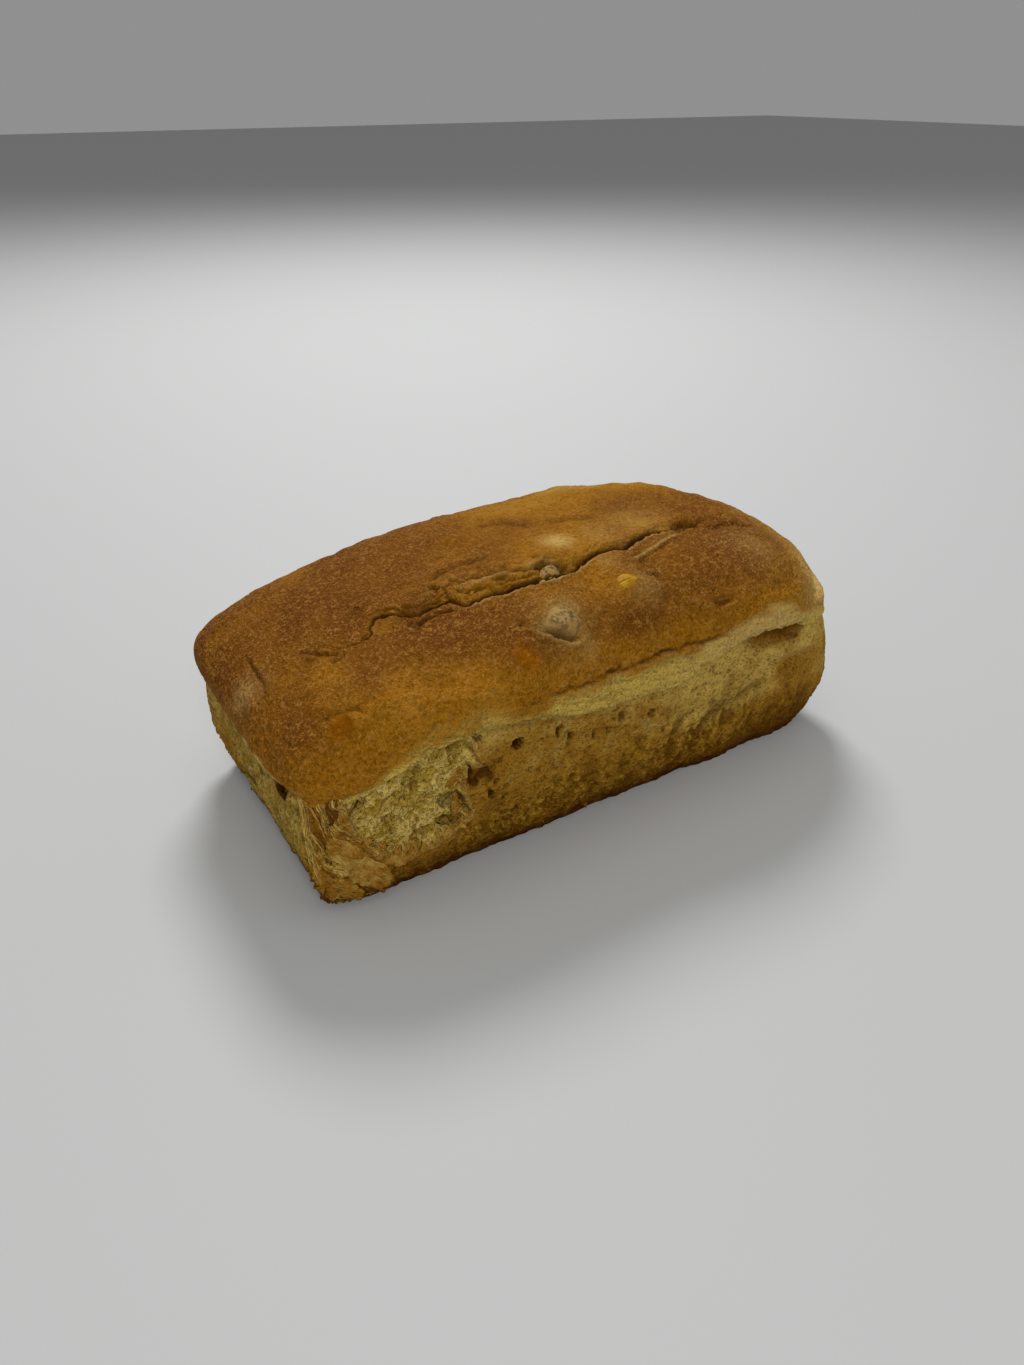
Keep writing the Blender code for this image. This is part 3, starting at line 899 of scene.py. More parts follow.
def make_crust():
    """The crust's net, bent to follow the crack, with its skirt and its closing."""
    s_lines = lines(344)
    t_lines = lines(222, ((CRACK_AT - 0.03, 2.5, 0.085), (-0.97, 0.9, 0.06)))
    s, t = np.meshgrid(s_lines, t_lines, indexing="ij")
    x, y = np.array(CRACK).T
    line_x = s_lines * np.where(s_lines < 0, HALF_LENGTH["left"], HALF_LENGTH["right"])
    power = np.where(s_lines < 0, SQUARENESS["left"][2], SQUARENESS["right"][2])
    pinch = (1 - np.abs(s_lines) ** power / 2) ** (1 / power)
    aim = np.interp(line_x, x, y) / (HALF_WIDTH["near"] * pinch)
    t = t + (aim[:, None] - CRACK_AT) * hill(t - CRACK_AT, 0.30) * (1 - t ** 8) * (1 - s ** 8)

    edge, line = flare_of(2), flare_of(1)
    square_edge, square_line = squareness_of(2), squareness_of(1)
    top = ring_values(s.ravel(), t.ravel(), edge, square_edge, edge_height(s, t).ravel())
    top["high"] = through(CREST, s.ravel())

    rim = border(s_lines, t_lines)
    rs = np.array([s_lines[i] for i, _ in rim])
    rt = np.array([t_lines[j] for _, j in rim])
    rough = waves(31, 14, 0.05, 0.25)
    end = SKIRT + 0.07 * rough(np.stack([rs, rt, rs * rt], 1))
    end += 0.50 * step_up(rs, 0.46, 0.56) * (1 - step_up(rs, 0.76, 0.90)) * (rt < -0.9)
    blocks = [top]
    for share in np.linspace(0, 1, 11)[1:]:
        above = mix(1, end, share)
        out = [mix(a, b, SKIRT ** 2.6 + (1 - SKIRT ** 2.6) * (1 - share) ** 1.9)
               for a, b in zip(line, edge)]
        square = [mix(square_line[0], square_edge[0], mix(1, SKIRT, share)),
                  mix(square_line[1], square_edge[1], 1 - share)]
        z = edge_height(rs, rt) - (1 - above) * LEDGE_HEIGHT
        blocks.append(ring_values(rs, rt, out, square, z))
    skirt_z = blocks[-1]["low"]
    for inward, up in ((0.0003, -0.0003), (0.0009, -0.0004), (0.0018, 0.0000), (0.0050, 0.0010)):
        tucked = [a - inward for a in out]
        blocks.append(ring_values(rs, rt, tucked, square, skirt_z + up))
    flat = np.full(len(rim), 0.0440)
    blocks.append(ring_values(rs, rt, [a - 0.0085 for a in out], square, flat))

    n, m = s.shape
    faces = [(i * m + j, (i + 1) * m + j, (i + 1) * m + j + 1, i * m + j + 1)
             for i in range(n - 1) for j in range(m - 1)]
    more, last = ring_faces([i * m + j for i, j in rim], n * m, len(rim), len(blocks) - 1)
    made = plain_net("crust", blocks, faces + more + [tuple(reversed(last))])
    return shaped(made, crust_finish)


crust = make_crust()
print("crust:", len(crust.data.polygons), "faces")

# %% [markdown]
# ## The crack along the top
# As the loaf rose, its skin split. The near side stayed as a thin lip, and the far side swelled into
# a roll that dives in behind that lip. This is why the crack reads as one dark line: the lip hides
# its floor, and painted shade darkens the roll just behind it. A groove cut by a Boolean would have
# two equal walls, which looks like a knife cut, so the profile is written as a height across the
# line: a sheer lip, and a quarter circle opposite.

# %% Profile of the crack, from place along the loaf
CRACK_DEPTH = tenths(
    "-720,0 -640,3 -560,9 -500,11 -440,9 -350,12 -310,22 -250,32 -150,36 -60,36 -10,30 50,36 150,38 "
    "240,42 300,34 350,14 450,8 560,0")
ROLL_WIDTH = tenths(
    "-720,10 -500,16 -400,30 -300,46 -150,44 -80,40 0,46 120,58 250,70 350,60 560,30")
ROLL_RISE = tenths(
    "-720,0 -560,2 -460,5 -360,11 -250,15 -120,12 0,8 120,13 260,18 360,12 560,2")
POCKET = tenths(
    "-543,-158 -518,-178 -493,-201 -474,-207 -456,-186 -481,-136 -506,-114 -525,-114 -537,-130")
ARCH = tenths(
    "-110,-232 -70,-232 -26,-239 -14,-243 -28,-212 -54,-188 -86,-193 -108,-216")
FLAP = tenths(
    "-130,-252 -84,-230 -31,-236 -12,-245 -54,-259 -92,-259")


def open_crack(relief):
    """The groove with its near lip and its far roll, the torn pocket and the fruit's arch."""
    p = relief.points
    x, _, z = p.T
    off, _ = from_line(p[:, :2], jagged(CRACK, 0.0010, 0.00022, 5))
    on_top = step_up(z, 0.048, 0.052)
    depth, width, rise = (np.interp(x, *np.array(knots).T)
                          for knots in (CRACK_DEPTH, ROLL_WIDTH, ROLL_RISE))
    depth *= on_top
    rise *= on_top
    far = off > 0
    broken = step_up(waves(6, 12, 0.002, 0.008)(p), -0.3, 0.6)
    quarter = np.sqrt(1 - (1 - np.clip(off / width, 0, 1)) ** 2)
    roll = -depth + (depth + rise) * quarter - rise * step_up(off, width, width + 0.014)
    cliff = -depth * (1 - step_up(-off, 0, 0.00030))
    lip = (0.00025 + 0.00030 * broken) * step_up(depth, 0.0004, 0.0020) * hill(off + 0.0008, 0.0008)
    relief.height += np.where(far, roll, cliff + lip)
    sunk = within(p[:, :2], POCKET, soft=0.0007)
    relief.height -= 0.00055 * sunk
    relief.numbers["pocket"] = sunk
    arch = within(p[:, :2], ARCH, soft=0.0007)
    relief.height -= 0.0015 * arch
    # painted shade on the foot of the roll and at the lip's cliff, and in the fruit's arch
    shaded = np.where(far, 1 - step_up(off, 0.25 * depth, 0.0002 + 0.50 * depth),
                      1 - step_up(-off, 0.0, 0.00025))
    relief.paint("deep", np.maximum(step_up(depth, 0.0002, 0.0011) * shaded, 0.45 * arch))
    flap = within(p[:, :2], FLAP, soft=0.0006) * (1 - arch)
    relief.height += 0.0005 * flap
    # the flap painted pale, and a painted highlight along the near lip
    relief.paint("pale_and_painted_highlight", np.maximum(0.8 * flap, step_up(depth, 0.0006, 0.002)
                                    * (0.28 + 0.25 * broken) * hill(off + 0.0006, 0.0005)))
    relief.numbers["flank"] = step_up(depth, 0.0004, 0.0012) * far * (
        1 - step_up(off, width * 0.8, width * 1.4))
    wide = np.interp(x, (-0.060, -0.042, -0.034, -0.008, 0.000, 0.050),
                     (0.001, 0.006, 0.015, 0.014, 0.005, 0.004))
    relief.numbers["wrinkled"] = far * on_top * (1 - step_up(off, wide * 0.5, wide)) * step_up(
        x, -0.060, -0.045) * (1 - 0.75 * step_up(x, -0.004, 0.002))
    relief.numbers["off"] = off


# %% [markdown]
# ## Swellings, creases and small cracks
# Fruit under the skin lifts it, and the skin folds beside it. A swelling is a soft hill. A crease is
# a line where one side stands higher: the skin above a sultana ends in a lip, and falls off below.

# %% Swellings and creases
SWELLINGS = tenths(
    "-135,-362,72,11 -80,-200,50,4 128,-345,48,13 25,-105,48,19 -23,103,50,7 -715,-340,50,6 "
    "-272,-430,50,6 155,-130,70,9 290,-110,80,10 95,-245,35,8 300,290,50,8 560,-300,80,8 -600,-400,70,6 "
    "-390,-390,60,-6 -845,-50,50,9 800,-330,110,-26 480,120,200,13 330,-420,50,-7 -640,150,90,6")
# Creases: the line, depth of the drop on its right side, width of the drop, height of the lip.
CREASES = tuple((tenths(line), *sizes) for line, *sizes in (
    ("-222,-352 -206,-376 -176,-396 -146,-413 -116,-417 -92,-402", -0.0008, 0.0009, 0.0009),
    ("146,-296 172,-325 176,-360 158,-395", -0.0008, 0.002, 0.0003),
    ("130,-263 176,-263 214,-257 274,-235 326,-218 390,-206", 0.0003, 0.0026, 0.0003),
    ("-130,-208 -112,-192 -92,-184 -62,-183 -46,-200 -38,-222", 0.0019, 0.0026, 0.0005),
    ("-331,-161 -294,-167 -251,-173 -198,-179 -153,-196", -0.0006, 0.0014, 0.0004),
))
# Small cracks: the line, depth and width.
SMALL_CRACKS = tuple((tenths(line), *sizes) for line, *sizes in (
    ("-474,-211 -466,-200 -454,-184", 0.0009, 0.0004),
    ("-474,-209 -454,-218 -427,-213 -414,-214 -386,-219 -365,-224 -340,-236", 0.0011, 0.0003),
    ("-280,-94 -268,-145 -236,-194 -168,-211", 0.0006, 0.0006),
    ("-228,-88 -208,-146 -170,-183 -130,-200", 0.0006, 0.0006),
    ("-170,-130 -160,-172 -138,-194 -100,-200", 0.0006, 0.0005),
    ("-359,-100 -309,-63 -251,-50 -199,-60 -146,-63", 0.0011, 0.001),
    ("-366,-105 -350,-137 -366,-155", 0.0009, 0.0005),
    ("-549,-6 -543,-31 -525,-56", 0.0008, 0.0004),
    ("-441,6 -414,-6 -394,-19", 0.0007, 0.0004),
    ("-607,-159 -612,-140 -619,-123", 0.0005, 0.0004),
    ("-797,73 -800,6 -803,-65 -815,-133", 0.0007, 0.0005),
    ("-709,-49 -681,-98 -651,-146 -624,-170", 0.0006, 0.0004),
    ("-666,-163 -645,-171 -618,-165", 0.0007, 0.0004),
    ("-248,-336 -240,-341 -231,-347", 0.0012, 0.0005),
    ("260,-374 276,-396 279,-415", 0.0004, 0.0004),
    ("299,-428 328,-435 375,-438", 0.0007, 0.0005),
    ("144,-292 158,-318 194,-331", 0.0009, 0.0004),
    ("350,-185 400,-158 440,-147 490,-160", 0.0012, 0.0016),
    ("480,-187 592,-178 651,-197", 0.0007, 0.0012),
    ("-755,-300 -717,-318 -675,-340 -655,-380", 0.0006, 0.0005),
    ("60,20 140,10 220,-30", 0.0006, 0.0016),
    ("-110,120 -30,80 40,20", 0.0007, 0.002),
))
# Where the fruit lies bare, seen from above, and the skin that veils the large sultana.
BARE = {
    "sultana_in_shoulder": tenths(
        "-121,-318 -160,-336 -194,-366 -176,-396 -144,-413 -108,-410 -80,-388 -68,-352 -86,-324"),
    "sultana_in_crack": ARCH,
    "peel_in_shoulder": tenths(
        "60,-334 72,-349 108,-350 124,-322 104,-302 72,-306"),
    "peel_below_shoulder": tenths(
        "-272,-378 -280,-402 -290,-420 -258,-434 -240,-422 -249,-398"),
    "peel_at_corner": tenths(
        "-742,-336 -738,-360 -712,-374 -692,-366 -696,-346 -716,-328"),
}
VEIL = tenths(
    "-107,-306 -137,-320 -173,-338 -212,-362 -190,-384 -165,-402 -145,-412 -116,-408 -94,-388 -68,-354 "
    "-76,-323")


def bury(relief, name, outline, skin=0.00018):
    """Draw the skin over a piece of fruit, and leave the fruit bare within an outline."""
    middle, axes, half = fruit_place(name)
    start = (relief.moved() - middle) @ axes / half
    way = relief.normals @ axes / half
    a, b, c = (way ** 2).sum(-1), (start * way).sum(-1), (start ** 2).sum(-1) - 1
    root = b * b - a * c
    out = (np.sqrt(np.maximum(root, 0)) - b) / a
    ragged = 0.00035 * waves(44, 12, 0.0015, 0.005)(relief.points)
    bare = within(relief.points[:, :2], outline, ragged, soft=0.0009)
    sunk = np.clip(out - 0.0003, -0.0005, 0)
    lift = mix(np.maximum(out + skin, 0), sunk, bare)
    on_crust = (root > 0) & (np.abs(out) < 0.005) & (relief.points[:, 2] > 0.046)
    relief.height += np.where(on_crust, lift, 0)


def swell(relief):
    for x, y, radius, height in SWELLINGS:
        off = np.hypot(relief.points[:, 0] - x, relief.points[:, 1] - y)
        hump = hill(off, radius) * step_up(relief.points[:, 2], 0.043, 0.047)
        relief.height += height * hump
        if height > 0.0007 and radius < 0.0085:
            # painted highlight on the top of a small swelling
            relief.paint("pale_and_painted_highlight", 0.26 * hump)


def crease(relief):
    """A drop on one side of a line, under a lip on the other side."""
    top = step_up(relief.points[:, 2], 0.046, 0.050)
    for number, (line, drop, width, lip) in enumerate(CREASES):
        off, share = from_line(relief.points[:, :2], jagged(line, 0.0012, 0.00010, 40 + number))
        off = off if drop > 0 else -off
        strength = faded(share, 0.25) * top
        fall = np.where(off < 0, step_up(-off, 0, 0.0006) * (1 - step_up(-off, 0.0006, 2 * width)), 0)
        relief.height -= abs(drop) * fall * strength
        relief.height += lip * hill(off - 0.0006, width * 0.7) * (off > -0.0003) * strength
        # painted shade where the skin falls off below the lip, and a painted highlight along the lip
        shade = min(1, (abs(drop) / 0.0015) ** 1.5)
        relief.paint("deep", shade * strength * hill(off + 0.0005, 0.0006))
        relief.paint("pale_and_painted_highlight", 0.55 * strength * hill(off - 0.0004, 0.0005))


def small_cracks(relief):
    top = step_up(relief.points[:, 2], 0.046, 0.050)
    for number, (line, depth, width) in enumerate(SMALL_CRACKS):
        off, share = from_line(relief.points[:, :2], jagged(line, 0.0010, 0.00014, 60 + number))
        strength = faded(share, 0.2) * top
        relief.height -= depth * hill(off, width) * strength
        relief.height += 0.35 * depth * hill(off - 2.2 * width, width * 1.3) * strength
        # painted shade in the crack
        relief.paint("deep", 0.80 * strength * hill(off, width * 0.8) * min(1, depth / 0.0011))


# %% [markdown]
# ## The tear over the pale band
# Low on the near side the crust split once more as the loaf sprang up over the tin. Above the split
# the skin is gold; below it lies a band of younger, cream-coloured skin. It is a line in x and
# height, and only the steep near side may feel it.

# %% The tear and the rim's colour
TEAR = tenths(
    "-440,462 -370,478 -270,484 -204,482 -117,480 -90,482 -55,490 -21,488 26,486 72,490 112,496 164,490 "
    "190,494 244,488 298,492 360,482")


def tear(relief):
    p = relief.points
    near = step_up(-p[:, 1], 0.041, 0.044)
    off, share = from_line(p[:, [0, 2]], jagged(TEAR, 0.0008, 0.00030, 77))
    strength = near * step_up(share, 0.10, 0.45) * (1 - step_up(share, 0.90, 1.0))
    strength *= 0.72 + 0.28 * np.clip(waves(78, 10, 0.003, 0.010)(p) * 1.4, -1, 1)
    relief.height -= 0.0012 * strength * hill(off, 0.0005)
    relief.height += 0.0005 * strength * hill(off + 0.0018, 0.0014)
    relief.height += 0.0003 * strength * hill(off - 0.0010, 0.0008)
    # painted shade in the tear, and a painted highlight on the lip beside it
    relief.paint("deep", 0.85 * strength * hill(off, 0.00035))
    relief.paint("pale_and_painted_highlight", 0.35 * strength * hill(off + 0.0009, 0.0005))


# Height over the edge line at which the cream ends, and at which the skin is golden.
CREAM_END = tenths(
    "-900,-10 -865,-14 -850,-50 -820,-64 -700,-50 -500,-8 -400,-8 -300,4 -200,28 -100,56 100,76 300,74 "
    "450,40 560,6 700,-28 800,-50 900,-64")
GOLD_START = tenths(
    "-900,2 -865,-2 -850,-30 -820,-44 -660,-14 -500,60 -400,66 -300,74 -200,84 -100,94 100,94 300,96 "
    "450,80 560,50 700,14 800,-10 900,-30")
GLOWS = ((-0.0268, -0.0408, 0.0040, 0.95), (-0.0715, -0.0352, 0.0038, 0.95),
         (0.0060, -0.0030, 0.0030, 0.35), (-0.0030, 0.0040, 0.0028, 0.35),
         (0.0100, -0.0310, 0.0034, 0.55), (-0.0200, 0.0100, 0.0040, 0.30))


def bake_crust(relief):
    """How far each place is baked: cream rim, gold flank of the near side, brown top, a far top made
    paler as painted light, and pale marks with painted highlights.
    """
    p = relief.points
    x, y, z = p.T
    soft = waves(90, 14, 0.012, 0.040)
    small = waves(91, 14, 0.004, 0.010)
    edge = edge_height(x / 0.089, y / 0.049)
    above = z - edge + 0.0009 * soft(p) + 0.0006 * small(p)
    near = step_up(-y, 0.024, 0.040)
    cream, gold = (np.interp(x, *np.array(knots).T) for knots in (CREAM_END, GOLD_START))
    cream = np.where(y > 0.02, -0.0040, cream)
    gold = np.where(y > 0.02, mix(-0.0020, 0.0016, step_up(x, -0.08, -0.03)), gold)
    pale = 1 - np.clip((above - cream) / (gold - cream), 0, 1)
    brown = step_up(z + 0.0014 * soft(p * 1.3), edge + 0.0060, edge + 0.0170)
    far_side = 0.020 * step_up(y, 0.0, 0.020)
    left_brown = 0.8 * step_up(-x + far_side, 0.062, 0.084) * step_up(above, -0.002, 0.004)
    left_brown *= 1 - 0.9 * near * (1 - step_up(above, 0.0040, 0.0100))
    brown = np.maximum(brown, left_brown)
    bake = 0.50 * (1 - pale) + 0.36 * brown
    bake += 0.12 * step_up(-x, 0.010, 0.060) * brown + 0.06 * soft(p)
    bake -= 0.22 * hill(np.hypot(x - 0.004, (y + 0.008) * 1.4), 0.026)
    # painted light: the far top, which faces the light, is made paler
    far_top = step_up(y, 0.000, 0.024) * (1 - step_up(y, 0.024, 0.042))
    bake -= 0.48 * far_top * step_up(x, -0.025, 0.015) * (1 - step_up(x, 0.050, 0.074))
    bake -= 0.16 * step_up(x, 0.058, 0.082)
    bake += 0.16 * hill(np.hypot(x - 0.046, (y + 0.028) * 1.3), 0.018)
    bake -= 0.16 * np.maximum(relief.numbers["flank"], relief.numbers["pocket"])
    bake -= 0.10 * relief.numbers["wrinkled"]
    bake -= 0.20 * hill(np.hypot(x - 0.006, (y + 0.0300) * 0.8), 0.007)
    bake -= 0.22 * hill(np.hypot(x - 0.0025, y + 0.0105), 0.0042)
    golden = near * hill(above - gold - 0.0030, 0.0040) * (1 - step_up(x, 0.045, 0.070))
    relief.numbers["bake"] = mix(bake, 0.52, 0.65 * golden)
    band = near * pale * step_up(above, -0.0030, -0.0010)
    slant = 1.3 * z + 0.30 * x
    relief.numbers["off"] = np.where(band > 0.02, slant, relief.numbers["off"])
    relief.numbers["wrinkled"] = np.maximum(relief.numbers["wrinkled"], 0.42 * band)
    for at_x, at_y, radius, amount in GLOWS:
        off = np.hypot((x - at_x) * 1.25, y - at_y) + 0.0007 * small(p)
        relief.paint("glow", amount * (1 - step_up(off, radius * 0.3, radius * 1.3)))
    ragged = 0.0006 * small(p)
    relief.paint("stain", 0.75 * within(p[:, :2], VEIL, ragged, soft=0.0026))
    lump = np.hypot(x - 0.0025, y + 0.0105)
    rim = hill(np.hypot(y + 0.0050, (z - 0.0455) * 1.2), 0.0042) * (x < -0.075)
    # a pale lump and a pale line along the left rim, with painted highlights, and a small pale spot
    relief.paint("pale_and_painted_highlight", hill(lump, 0.0040) + 0.50 * rim + 0.40 * hill(
        np.hypot(x + 0.0100, y + 0.0425), 0.0026))
    near_tip = step_up(x, 0.058, 0.083) * (1 - 0.85 * step_up(y, -0.020, 0.012))
    near_tip *= 1 - 0.75 * step_up(above, 0.006, 0.013)
    relief.paint("pale_and_painted_highlight", 1.15 * near_tip * step_up(above, -0.002, 0.003))
    relief.paint("pale_and_painted_highlight", 1.10 * band * step_up(x, 0.005, 0.045))
    seam = hill(above + 0.0012, 0.0008) * (x < -0.078) * step_up(y, -0.038, -0.034)
    relief.paint("pale_and_painted_highlight", 0.90 * seam)


def relieve_crust():
    relief = Relief(crust)
    lumps = waves(12, 14, 0.016, 0.050)
    small = waves(13, 18, 0.005, 0.014)
    p = relief.points
    top = step_up(p[:, 2], 0.044, 0.056)
    relief.height += 0.00050 * lumps(p) * top + 0.00024 * small(p) * step_up(p[:, 2], 0.040, 0.048)
    open_crack(relief)
    swell(relief)
    crease(relief)
    small_cracks(relief)
    tear(relief)
    bake_crust(relief)
    for name, outline in BARE.items():
        bury(relief, name, outline)
    relief.apply()


relieve_crust()


# %% [markdown]
# ## Wrinkles and pores of the crust
# The skin of a crust dries and shrinks into fine wrinkles, and on the rolled flank of the crack they
# run along it. They follow the surface, so Geometry Nodes make them: the tree moves each point along
# its normal by noise, with named sizes and depths, so that a drier or a smoother crust is one number
# away.

# %% The tree "crust wrinkles"
def wrinkle_tree():
    tree, start, end = geometry_tree("crust wrinkles", {
        "Wrinkle Depth": 0.0002, "Wrinkle Size": 0.003, "Fold Depth": 0.0008, "Fold Size": 0.002,
        "Seed": 3.0})
    x, y, z = place_parts(tree)
    seed = start["Seed"]
    skin = noise(tree, vector(tree, x, y, z + seed), 0.7 / start["Wrinkle Size"], detail=3,
                 roughness=0.55, distortion=0.6)
    ridge = 1 - abs(skin - 0.5) * 10
    place = vector(tree, x * 0.17, stored(tree, "off"), seed * 0.01)
    folded = noise(tree, place, 0.7 / start["Fold Size"], detail=2, roughness=0.5, distortion=0.5)
    folded = folded.math("MAXIMUM", 1 - abs(folded - 0.5) * 20, -1.0) * stored(tree, "wrinkled")
    height = ((skin - 0.5) * 3.0 + ridge * 0.25) * start["Wrinkle Depth"]
    height = (height + folded * start["Fold Depth"]) * ease(z, 0.036, 0.044)
    moved = pushed_out(tree, start["Geometry"], height)
    # the folds' height is stored for painted highlights on their ridges and painted shade in their
    # valleys
    finish_tree(tree, noted(tree, moved, "fold", folded), start["Material"], end)
    return tree


run_tree(crust, wrinkle_tree(), material=crust_finish, wrinkle_depth=0.00046,
         wrinkle_size=0.0016, fold_depth=0.00055, fold_size=0.0013, seed=3.0)
keep_inside(crust)


# %% [markdown]
# ## The sides: net and form
# The sides are the second closed shell. They start inside the crust, where they are hidden, come
# down the tin's line and end at the flat bottom that the loaf stands on. Their points are closest on
# the near side, where the torn crumb and the pits need them, and widest apart at the back.

# %% The net of the sides
def side_border():
    """Places round the wall: close together on the near side, wide apart at the back."""
    near = lines(440, ((-0.66, 0.9, 0.26),))
    far, left, right = lines(150), lines(130), lines(70)
    s = np.concatenate([near, np.ones(len(right) - 2), far[::-1], -np.ones(len(left) - 2)])
    t = np.concatenate([-np.ones(len(near)), right[1:-1], np.ones(len(far)), left[-2:0:-1]])
    return s, t


def make_sides():
    rs, rt = side_border()
    middle, line = flare_of(0), flare_of(1)
    square_base, square_line = squareness_of(0), squareness_of(1)
    top = edge_height(rs, rt)
    blocks = [ring_values(rs, rt, [a - inward for a in line], square_line, z) for inward, z in (
        (0.0120, np.full(len(rs), 0.0450)), (0.0030, top + 0.0012), (0.0012, top + 0.0004))]
    tin_line = top - LEDGE_HEIGHT
    for w in np.linspace(1, 0, 103):
        z = top * w
        below = np.clip(z / tin_line, 0, 1)
        bulge = np.sin(np.clip(below / 0.6, 0, 1) * np.pi / 2)
        share = np.clip((below - 0.6) / 0.4, 0, 1)
        tuck = 0.0016 * step_up(z, top - 0.0024, top - 0.0006)
        out = [a * bulge + (b - a) * share - tuck for a, b in zip(middle, line)]
        square = [mix(a, b, below) for a, b in zip(square_base, square_line)]
        blocks.append(ring_values(rs, rt, out, square, z))
    first = list(range(len(rs)))
    faces, last = ring_faces(first, len(rs), len(rs), len(blocks) - 1)
    made = plain_net("sides", blocks, faces + [tuple(first), tuple(reversed(last))])
    return shaped(made, sides_finish)


sides = make_sides()
print("sides:", len(sides.data.polygons), "faces")

# %% [markdown]
# ## Torn crumb, corner skin and pits
# The near side lost its skin over a patch about 3 cm wide when the loaf left its tin. The patch is an
# outline on the wall, in x and height, with a ragged edge, and it lies about 2 mm deeper than the
# skin. Round the corner a smooth skin is left, drawn into folds that run down it.

# %% The near wall's patch, folds and pits
TORN = tenths(
    "-765,450 -757,350 -749,297 -741,237 -701,188 -645,122 -606,145 -543,118 -480,135 -435,158 -450,243 "
    "-466,288 -445,320 -408,324 -420,374 -415,409 -395,500 -770,500")
TORN_DEPTH = 0.0019
PITS = tenths(
    "-303,347,30,32,30 -398,290,44,30,12 -421,276,22,34,14 -376,272,18,30,13 -412,400,16,18,14 "
    "-350,312,10,18,10 -182,342,14,34,18 -140,307,13,32,16 -64,285,12,30,12 -375,215,16,26,16 "
    "-331,224,11,14,10 -360,250,14,16,12 -231,233,12,16,10 -14,281,10,22,10 25,310,16,36,13 "
    "127,282,18,30,12 -335,190,18,18,12 -230,330,8,18,10 -260,245,10,14,10 -300,130,20,16,12 "
    "180,210,16,20,10 -120,170,16,22,11 60,130,22,16,11 560,408,210,74,15 640,385,80,50,10 "
    "-567,158,44,26,16 -482,226,60,46,21 -476,160,48,34,19 -600,335,26,22,12 -436,300,12,50,16")
LEFT_PITS = tenths(
    "-205,300,90,74,40 -260,335,50,44,28 -60,240,24,20,12 -180,180,22,28,13 120,290,18,20,10 "
    "40,150,50,34,12")
MEMBRANE = tenths(
    "-12,350 30,350 48,275 50,213 26,196 10,230 -10,280")
FOLDS = tuple(tenths(line) for line in (
    "-29,360 24,338 55,294 64,265 89,230 125,205",
    "-25,345 -16,264 4,225 28,193 66,150",
    "35,250 49,312 83,309 101,267 120,245",
    "30,180 80,130 140,100",
    "60,375 78,352 110,340 135,318",
))
CORNER_EDGE = tenths(
    "-29,375 -22,296 -12,229 4,170 11,77 14,10")


def near_only(relief):
    return step_up(-relief.points[:, 1], 0.030, 0.036)


def left_only(relief):
    return step_up(-relief.points[:, 0], 0.074, 0.079)


def tear_open(relief):
    """Sink the torn patch and paint it as crumb."""
    p = relief.points
    _, y, z = p.T
    rough = waves(14, 16, 0.004, 0.012)
    fine = waves(15, 16, 0.0015, 0.004)
    ragged = 0.0008 * rough(p) + 0.0005 * fine(p)
    off = outline_depth(p[:, [0, 2]], TORN)
    torn = step_up(off + ragged, -0.0002, 0.0007) * near_only(relief)
    relief.height -= torn * (TORN_DEPTH + 0.0005 * rough(p * 1.5))
    relief.height += 0.0004 * near_only(relief) * hill(off + ragged + 0.0006, 0.0006)
    # painted highlight along the raised edge of the torn patch
    relief.paint("pale_and_painted_highlight", 0.55 * near_only(relief) * hill(off + ragged + 0.0005, 0.0005))
    bare = 1 - step_up(y, -0.002, 0.016) * step_up(z, 0.010, 0.018)
    end = step_up(bare + 0.26 * rough(p) + 0.14 * fine(p), 0.40, 0.62) * left_only(relief)
    end *= step_up(z, 0.002, 0.008)
    end *= 1 - step_up(-y, 0.0330, 0.0350)
    relief.height -= end * 0.0009
    relief.paint("torn", np.maximum(torn, 0.75 * end))


def pits(relief):
    """Bowls in the near wall and in the left end, with painted shade in them."""
    p = relief.points
    rough = waves(23, 16, 0.0012, 0.0040)(p)
    for axis, group, only in ((0, PITS, near_only(relief)), (1, LEFT_PITS, left_only(relief))):
        for at, height, width, tall, depth in group:
            r = np.hypot((p[:, axis] - at) / (width / 2), (p[:, 2] - height) / (tall / 2))
            r += 0.20 * min(1, 0.004 / width) * rough
            bowl = np.clip(1 - np.clip(r, 0, 9) ** 2, 0, 1) ** 0.45 * only
            relief.height -= depth * bowl
            # painted shade in each bowl, less of it where the crumb is torn open
            dark = (1 - step_up(r, 0.95, 1.25)) * min(1, depth / 0.0018) * min(1, 0.009 / width)
            shade = 1.0 - 0.50 * (1 - axis) * clipped(relief.number("torn"))
            relief.paint("deep", dark * shade * only)


